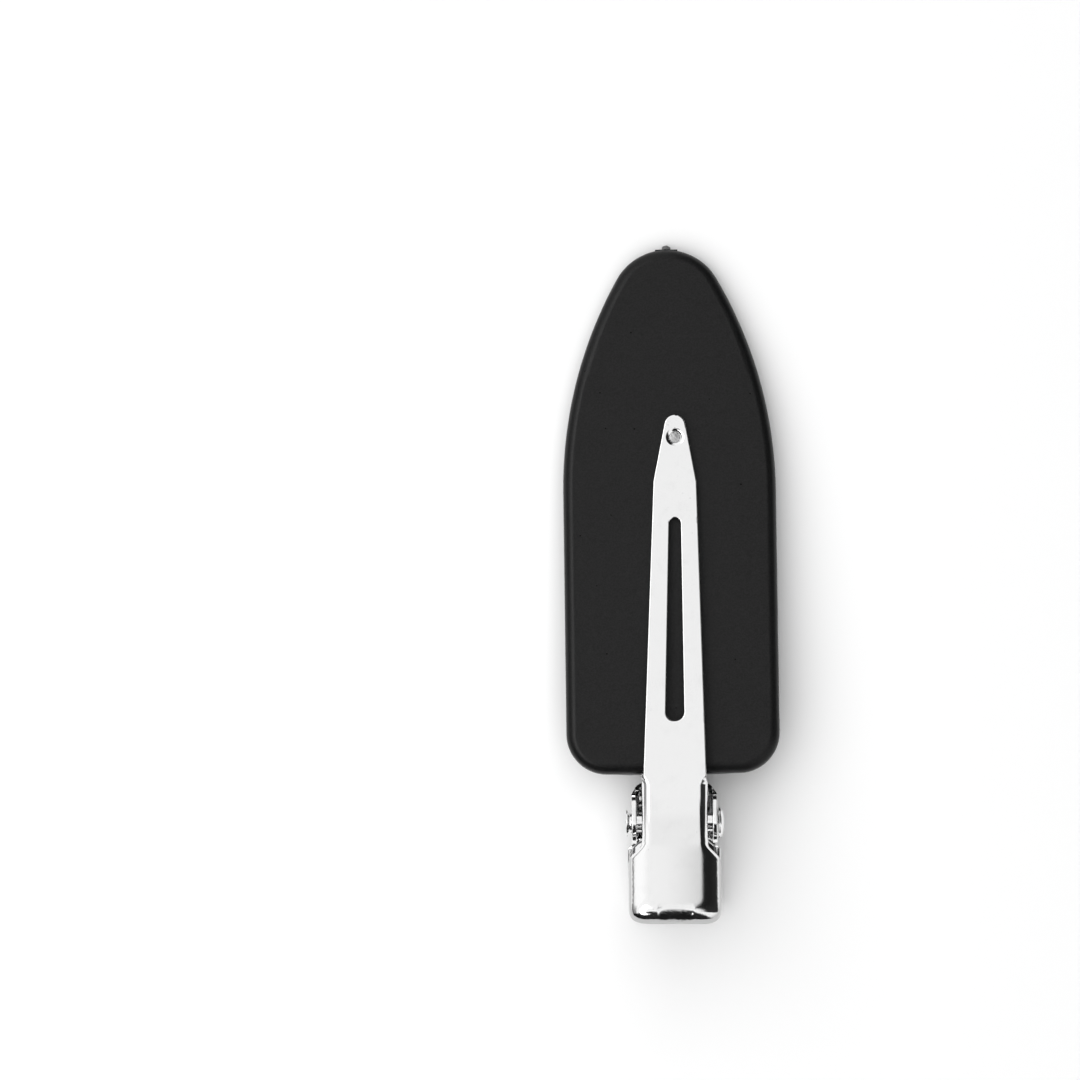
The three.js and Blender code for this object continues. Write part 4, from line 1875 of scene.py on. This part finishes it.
    def add_gate(self, piece: bpy.types.Object) -> None:
        """Adds the gate on the nose: a flat land and the rounded stub that was left on it.

        Args:
            piece: The plate.
        """
        width, length, thickness = self.nub
        tip = self.butt + self.length
        middle = self.outer_face + (self.thickness - self.inner_edge + self.outer_edge) / 2.0
        land_width, land_height = self.land
        land = self.box(
            "land",
            (-land_width / 2.0, tip - self.nose / 2.0, middle - thickness / 2.0),
            (land_width / 2.0, tip + land_height, middle + thickness / 2.0),
        )
        combine(piece, land, Join.ADD)
        net = bmesh.new()
        bmesh.ops.create_icosphere(net, subdivisions=4, radius=1.0)
        (across, along, up), (first, second) = self.lump_waves, self.lump_shifts
        for corner in net.verts:
            x, y, z = corner.co
            lump = math.sin(across * x + first) * math.cos(along * y) * math.sin(up * z + second)
            corner.co *= 1.0 + self.lump_height * lump
        size = Matrix.Diagonal((width / 2.0, length, thickness / 2.0, 1.0))
        bmesh.ops.transform(net, matrix=Matrix.Translation((0.0, tip, middle)) @ size, verts=net.verts)
        combine(piece, linked("stub", net), Join.ADD)
        axis = Vector((0.0, tip + 2.0 * land_height, middle)), Vector((0.0, 1.0, 0.0))
        work(piece, axis, (0.0, width), 1.0)

    def build(self, placing: ClipFrame, finish: Finish) -> None:
        """Builds and dresses the plate.

        Args:
            placing: The clip's place in the row frame.
            finish: The piece's finish.
        """
        draft = MeshDraft()
        draft.grid(self.face(self.inner_edge, self.inner_face, False))
        draft.grid(self.face(self.outer_edge, self.outer_face, True))
        draft.grid(self.rim(), closed=True)
        piece = draft.solid("cover_plate_moulding")
        self.add_gate(piece)
        wide, deep, high = self.pocket
        roof = self.inner_face - self.pocket_floor
        mouth = self.box(
            "mouth",
            (-wide / 2.0, self.butt - self.pocket_lead, roof - high),
            (wide / 2.0, self.butt + deep, roof),
        )
        combine(piece, mouth, Join.CUT)
        finish_mesh(piece, placing, self.crease)
        dress(piece, "cover_plate", Body.COVER, finish)


@dataclass
class PivotRivet:
    """The rivet through the four ears: a shank, a domed head and a flared hollow tail.

    Attributes:
        radius: Radius of the shank.
        seat: Distance of the head's and tail's undersides from the middle.
        head_radius: Radius of the head.
        head_height: Height of the head.
        head_rim: Height of the rounding under the head's widest place.
        tail_radius: Radius of the tail.
        tail_height: Height of the tail.
        neck_radius: Radius where the tail's flare starts.
        hollow_radius: Radius of the tail's hollow at its mouth.
        hollow_depth: Depth of the hollow.
        edge: Radius of the tail's edges.
        sides: Sides of the rivet.
        steps: Steps round its curves.
        crease: Edges that turn by more than this, in radians, stay sharp.
    """

    radius: float = 0.9
    seat: float = 4.03
    head_radius: float = 1.46
    head_height: float = 0.68
    head_rim: float = 0.22
    tail_radius: float = 1.27
    tail_height: float = 0.5
    neck_radius: float = 0.9
    hollow_radius: float = 0.75
    hollow_depth: float = 0.4
    edge: float = 0.07
    sides: int = 72
    steps: int = 14
    crease: float = math.radians(40.0)

    def profile(self) -> list[Pair]:
        """Draws the rivet's half-section, from the hollow's floor to the top of the head.

        Returns:
            Pairs of radius and place along X.
        """
        turns = np.linspace(0.0, QUARTER, self.steps)
        end = -self.seat - self.tail_height
        points = [(0.0, end + self.hollow_depth)]
        points += [
            (self.hollow_radius * math.sin(t), end + self.hollow_depth * math.cos(t) ** 2)
            for t in turns[1:]
        ]
        rounded = self.tail_radius - self.edge
        points += [
            (rounded + self.edge * math.sin(t), end + self.edge * (1.0 - math.cos(t)))
            for t in turns
        ]
        flare = self.tail_radius - self.neck_radius
        neck = self.tail_height - 2.0 * self.edge
        points += [
            (self.tail_radius - flare * math.sin(t), -self.seat - neck * math.cos(t)) for t in turns
        ]
        points.append((self.radius, -self.seat))
        base = self.seat + self.head_rim
        points.append((self.radius, self.seat))
        points += [
            (self.head_radius - self.head_rim * (1.0 - math.sin(t)), base - self.head_rim * math.cos(t))
            for t in turns[:-1]
        ]
        dome = self.head_height - self.head_rim
        points += [(self.head_radius * math.cos(t), base + dome * math.sin(t)) for t in turns[:-1]]
        points.append((0.0, base + dome))
        return points

    def build(self, placing: ClipFrame, finish: Finish) -> None:
        """Builds and dresses the rivet.

        Args:
            placing: The clip's place in the row frame.
            finish: The piece's finish.
        """
        draft = MeshDraft()
        draft.grid(lathe(self.profile(), self.sides), closed=True)
        piece = draft.solid("pivot_rivet")
        finish_mesh(piece, placing, self.crease)
        dress(piece, "pivot_pin", Body.COVER, finish)


@dataclass
class TorsionSpring:
    """The spring on the rivet: three turns and a bit of wire, with a leg under each arm.

    Attributes:
        upper: The arm that the first leg lies under.
        lower: The arm that the last leg lies under.
        wire: Diameter of the wire.
        coil: Radius of the coil's centre line.
        turns: Whole turns of the coil.
        half_length: Half the coil's length along the rivet.
        leg_gap: Gap between a leg's end and the sheet over it.
        upper_leg: Length of the leg under the upper arm.
        lower_leg: Length of the leg under the lower arm.
        sides: Sides of the wire.
        step: Length of the steps along the wire.
        crease: Edges that turn by more than this, in radians, stay sharp.
    """

    upper: UpperArm
    lower: LowerArm
    wire: float = 0.6
    coil: float = 1.6
    turns: int = 3
    half_length: float = 2.075
    leg_gap: float = 0.1
    upper_leg: float = 6.6
    lower_leg: float = 7.6
    sides: int = 16
    step: float = 0.22
    crease: float = math.radians(60.0)

    def leg_turn(self, arm: UpperArm | LowerArm, length: float) -> float:
        """The angle at which a leg of some length meets the inside of an arm."""
        room = arm.web_height - arm.sheet - self.wire / 2.0 - self.leg_gap
        return arm.tilt + turn_to_reach(self.coil, length, room)

    def centre_line(self) -> np.ndarray:
        """Lays points along the middle of the wire.

        Returns:
            An array of points.
        """
        start = self.leg_turn(self.upper, self.upper_leg) - QUARTER
        end = 2.0 * math.pi * self.turns + QUARTER - self.leg_turn(self.lower, self.lower_leg)
        rise = 2.0 * self.half_length / (end - start)
        coil_length = (end - start) * math.hypot(self.coil, rise)
        total = self.upper_leg + coil_length + self.lower_leg
        points = []
        for run in np.linspace(0.0, total, round(total / self.step)) - self.upper_leg:
            on_coil = min(max(run, 0.0), coil_length)
            angle = start + (end - start) * on_coil / coil_length
            leg = run - on_coil
            points.append((
                (angle - start) * rise - self.half_length,
                self.coil * math.cos(angle) - leg * math.sin(angle),
                self.coil * math.sin(angle) + leg * math.cos(angle),
            ))
        return np.array(points)

    def build(self, placing: ClipFrame, finish: Finish) -> None:
        """Builds and dresses the spring, which twists between the two bodies.

        Args:
            placing: The clip's place in the row frame.
            finish: The piece's finish.
        """
        line = self.centre_line()
        tangents = np.gradient(line, axis=0)
        tangents /= np.linalg.norm(tangents, axis=1, keepdims=True)
        across = np.array((1.0, 0.0, 0.0))
        angles = np.linspace(0.0, 2.0 * math.pi, self.sides, endpoint=False)
        rings = []
        for middle, tangent in zip(line, tangents):
            first = across - tangent * (across @ tangent)
            first /= np.linalg.norm(first)
            second = np.cross(tangent, first)
            circle = np.outer(np.cos(angles), first) + np.outer(np.sin(angles), second)
            rings.append(middle + self.wire / 2.0 * circle)
        ends = [np.repeat(line[:1], self.sides, axis=0), np.repeat(line[-1:], self.sides, axis=0)]
        rows = np.stack([ends[0], *rings, ends[1]])
        draft = MeshDraft()
        draft.grid(rows.transpose(1, 0, 2), closed=True)
        piece = draft.solid("spring_wire_coil")
        finish_mesh(piece, placing, self.crease)
        piece.data.materials.append(finish.material())
        side = Vector((self.half_length * MM, 0.0, 0.0))
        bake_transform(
            piece,
            Body.COVER.value,
            Body.JAW.value,
            start=placing.pivot - side,
            end=placing.pivot + side,
        )
        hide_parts("torsion_spring")
        log.info("%s: %d faces between the bodies", piece.name, len(piece.data.polygons))


@dataclass(frozen=True)
class Flag:
    """A cloth on the dome round the clip, dark or glowing, which only glossy surfaces mirror.

    Attributes:
        name: The cloth's name.
        azimuth: Where it starts and ends, in degrees from +X towards +Y.
        zenith: Where it starts and ends, in degrees down from overhead.
        fade: Degrees over which its edges fade, along the azimuth and the zenith.
        cover: How dense it is, from 0 to 1.
        glow: Its own brightness.
        radius: Radius of the dome, in metres.
        steps: Steps of its net each way.
    """

    name: str
    azimuth: Pair
    zenith: Pair
    fade: Pair
    cover: float = 1.0
    glow: float = 0.0
    radius: float = 1.5
    steps: int = 48

    def build(self) -> None:
        """Builds the cloth as a patch of the dome."""
        around = np.linspace(*self.azimuth, self.steps)
        down = np.linspace(*self.zenith, self.steps)
        points, covers = [], []
        for turn in around:
            for fall in down:
                flat = self.radius * math.sin(math.radians(fall))
                x, y = flat * math.cos(math.radians(turn)), flat * math.sin(math.radians(turn))
                points.append((x, y, self.radius * math.cos(math.radians(fall))))
                along = self.cover * self.rise(turn, self.azimuth, self.fade[0])
                covers.append(along * self.rise(fall, self.zenith, self.fade[1]))
        draft = MeshDraft()
        draft.grid(np.array(points).reshape(self.steps, self.steps, 3))
        mesh = bpy.data.meshes.new(self.name)
        mesh.from_pydata(draft.points, [], draft.faces)
        mesh.attributes.new("cover", "FLOAT", "POINT").data.foreach_set("value", covers)
        cloth = bpy.data.objects.new(self.name, mesh)
        bpy.context.scene.collection.objects.link(cloth)
        mesh.materials.append(self.material())
        cloth.visible_camera = cloth.visible_diffuse = cloth.visible_shadow = False

    @staticmethod
    def rise(value: float, span: Pair, fade: float) -> float:
        """How far a value lies inside a span, from 0 at its ends to 1 a fade's width in."""
        return eased((value - span[0]) / fade) * eased((span[1] - value) / fade)

    def material(self) -> bpy.types.Material:
        """Builds the cloth's nodes; its cover is kept on its points.

        Returns:
            The material.
        """
        board = NodeBoard(self.name)
        cover = board.add("ShaderNodeAttribute", {"attribute_name": "cover"}).outputs["Fac"]
        return board.dress(
            Base_Color=(0.004, 0.004, 0.004, 1.0),
            Roughness=1.0,
            Specular_IOR_Level=0.0,
            Emission_Color=(1.0, 1.0, 1.0, 1.0),
            Emission_Strength=self.glow,
            Alpha=cover,
        )


@dataclass
class Studio:
    """A pale floor, soft light from the upper left, cloths round the clip, and the camera overhead.

    Attributes:
        camera_height: Height of the camera, in metres.
        camera_over: The point under the camera, in metres.
        frame_width: Width of the picture at the floor, in metres.
        lean: Turn of the clip in the picture, in radians.
        sensor: Width of the camera's sensor, in millimetres.
        floor_fade: Distances between which the floor fades into the white room, in metres.
        floor_colour: The floor's colour.
        ambient: Brightness of the room on matte surfaces.
        key_place: Place of the soft box, in metres.
        key_size: Sides of the soft box along X and Y, in metres.
        key_power: Power of the soft box, in watts.
        flags: The cloths.
    """

    camera_height: float = 0.6
    camera_over: Pair = (-0.01224, 0.004295)
    frame_width: float = 0.10204
    lean: float = math.radians(0.726)
    sensor: float = 36.0
    floor_fade: Pair = (0.3, 0.55)
    floor_colour: Triple = (0.9, 0.9, 0.9)
    ambient: float = 0.05
    key_place: Triple = (-0.55, 0.17, 0.8)
    key_size: Pair = (1.8, 3.0)
    key_power: float = 31.1
    flags: tuple[Flag, ...] = (
        Flag("right_cloth", (-14.0, 77.0), (10.0, 97.0), (9.0, 16.0), cover=0.985, glow=0.012),
        Flag("right_shade", (10.0, 93.5), (20.0, 97.0), (44.0, 16.0), cover=0.95, radius=1.52),
        Flag("front_cloth", (-172.0, -52.0), (3.0, 97.0), (16.0, 9.0), cover=0.98),
        Flag("left_cloth", (115.0, 245.0), (76.0, 97.0), (25.0, 8.0), cover=0.65),
        Flag("left_shade", (145.0, 250.0), (50.0, 97.0), (28.0, 10.0), cover=0.7, radius=1.51),
        Flag("left_screen", (98.0, 250.0), (40.0, 78.0), (12.0, 12.0), glow=1.08, radius=1.54),
        Flag("left_box", (110.0, 250.0), (19.0, 39.0), (24.0, 7.0), glow=5.0, radius=1.48),
        Flag("ceiling_shade", (-175.0, 140.0), (0.0, 56.0), (60.0, 13.0), cover=0.05, radius=1.46),
    )

    def floor(self) -> None:
        """Lays the pale floor, which fades into the room."""
        near, far = self.floor_fade
        corners = [(-far, -far, 0.0), (far, -far, 0.0), (far, far, 0.0), (-far, far, 0.0)]
        mesh = bpy.data.meshes.new("floor")
        mesh.from_pydata(corners, [], [(0, 1, 2, 3)])
        floor = bpy.data.objects.new("floor", mesh)
        bpy.context.scene.collection.objects.link(floor)
        board = NodeBoard("floor_card")
        away = board.add("ShaderNodeVectorMath", {"operation": "LENGTH"}, Vector=board.millimetres)
        card = board.dress(
            Base_Color=(*self.floor_colour, 1.0),
            Roughness=0.9,
            Specular_IOR_Level=0.1,
            Alpha=board.span(away.outputs["Value"], near / MM, far / MM, 1.0, 0.0),
        )
        mesh.materials.append(card)

    def world(self) -> None:
        """A room that is white to the camera and in reflections, and plain light on matte surfaces."""
        world = bpy.data.worlds.new("room")
        bpy.context.scene.world = world
        world.use_nodes = True
        tree = world.node_tree
        light = tree.nodes["Background"]
        light.inputs["Strength"].default_value = self.ambient
        light.inputs["Color"].default_value = (1.0, 1.0, 1.0, 1.0)
        white = tree.nodes.new("ShaderNodeBackground")
        white.inputs["Color"].default_value = (1.0, 1.0, 1.0, 1.0)
        rays = tree.nodes.new("ShaderNodeLightPath")
        seen: Any = rays.outputs["Is Camera Ray"]
        for name in ("Is Glossy Ray", "Is Transmission Ray"):
            larger = tree.nodes.new("ShaderNodeMath")
            larger.operation = "MAXIMUM"
            tree.links.new(seen, larger.inputs[0])
            tree.links.new(rays.outputs[name], larger.inputs[1])
            seen = larger.outputs[0]
        mix = tree.nodes.new("ShaderNodeMixShader")
        tree.links.new(seen, mix.inputs[0])
        tree.links.new(light.outputs[0], mix.inputs[1])
        tree.links.new(white.outputs[0], mix.inputs[2])
        tree.links.new(mix.outputs[0], tree.nodes["World Output"].inputs["Surface"])

    def key_light(self) -> None:
        """Hangs the soft box at the upper left."""
        lamp = bpy.data.lights.new("soft_box", "AREA")
        lamp.energy = self.key_power
        lamp.shape = "RECTANGLE"
        lamp.size, lamp.size_y = self.key_size
        key = bpy.data.objects.new("soft_box", lamp)
        bpy.context.scene.collection.objects.link(key)
        key.location = self.key_place
        key.visible_glossy = False

    def camera(self) -> None:
        """Sets up the camera that looks straight down."""
        lens = bpy.data.cameras.new("overhead")
        lens.sensor_width = self.sensor
        lens.lens = self.sensor * self.camera_height / self.frame_width
        lens.clip_start = 0.01
        camera = bpy.data.objects.new("overhead", lens)
        bpy.context.scene.collection.objects.link(camera)
        camera.location = (*self.camera_over, self.camera_height)
        camera.rotation_euler = (0.0, 0.0, -self.lean)
        bpy.context.scene.camera = camera

    def build(self) -> None:
        """Sets up the room, the floor, the light, the cloths and the camera."""
        bpy.context.scene.view_settings.view_transform = "Standard"
        self.world()
        self.floor()
        self.key_light()
        for flag in self.flags:
            flag.build()
        self.camera()


def main() -> None:
    """Builds every piece of the clip and the studio round it."""
    logging.basicConfig(level=logging.INFO, format="%(name)s: %(message)s")
    placing = ClipFrame.of(frame)
    plated = PlatedFinish("nickel_plate", "plated_steel")
    upper = UpperArm()
    lower = LowerArm()
    CoverPlate().build(placing, MouldedFinish("black_moulding", "black_plastic"))
    upper.build(placing, plated)
    lower.build(placing, plated)
    PivotRivet().build(placing, PlatedFinish("nickel_rivet", "plated_rivet", roughness=(0.1, 0.24)))
    TorsionSpring(upper, lower).build(placing, WireFinish("spring_steel", "spring_wire"))
    Studio().build()


if __name__ == "__main__":
    main()
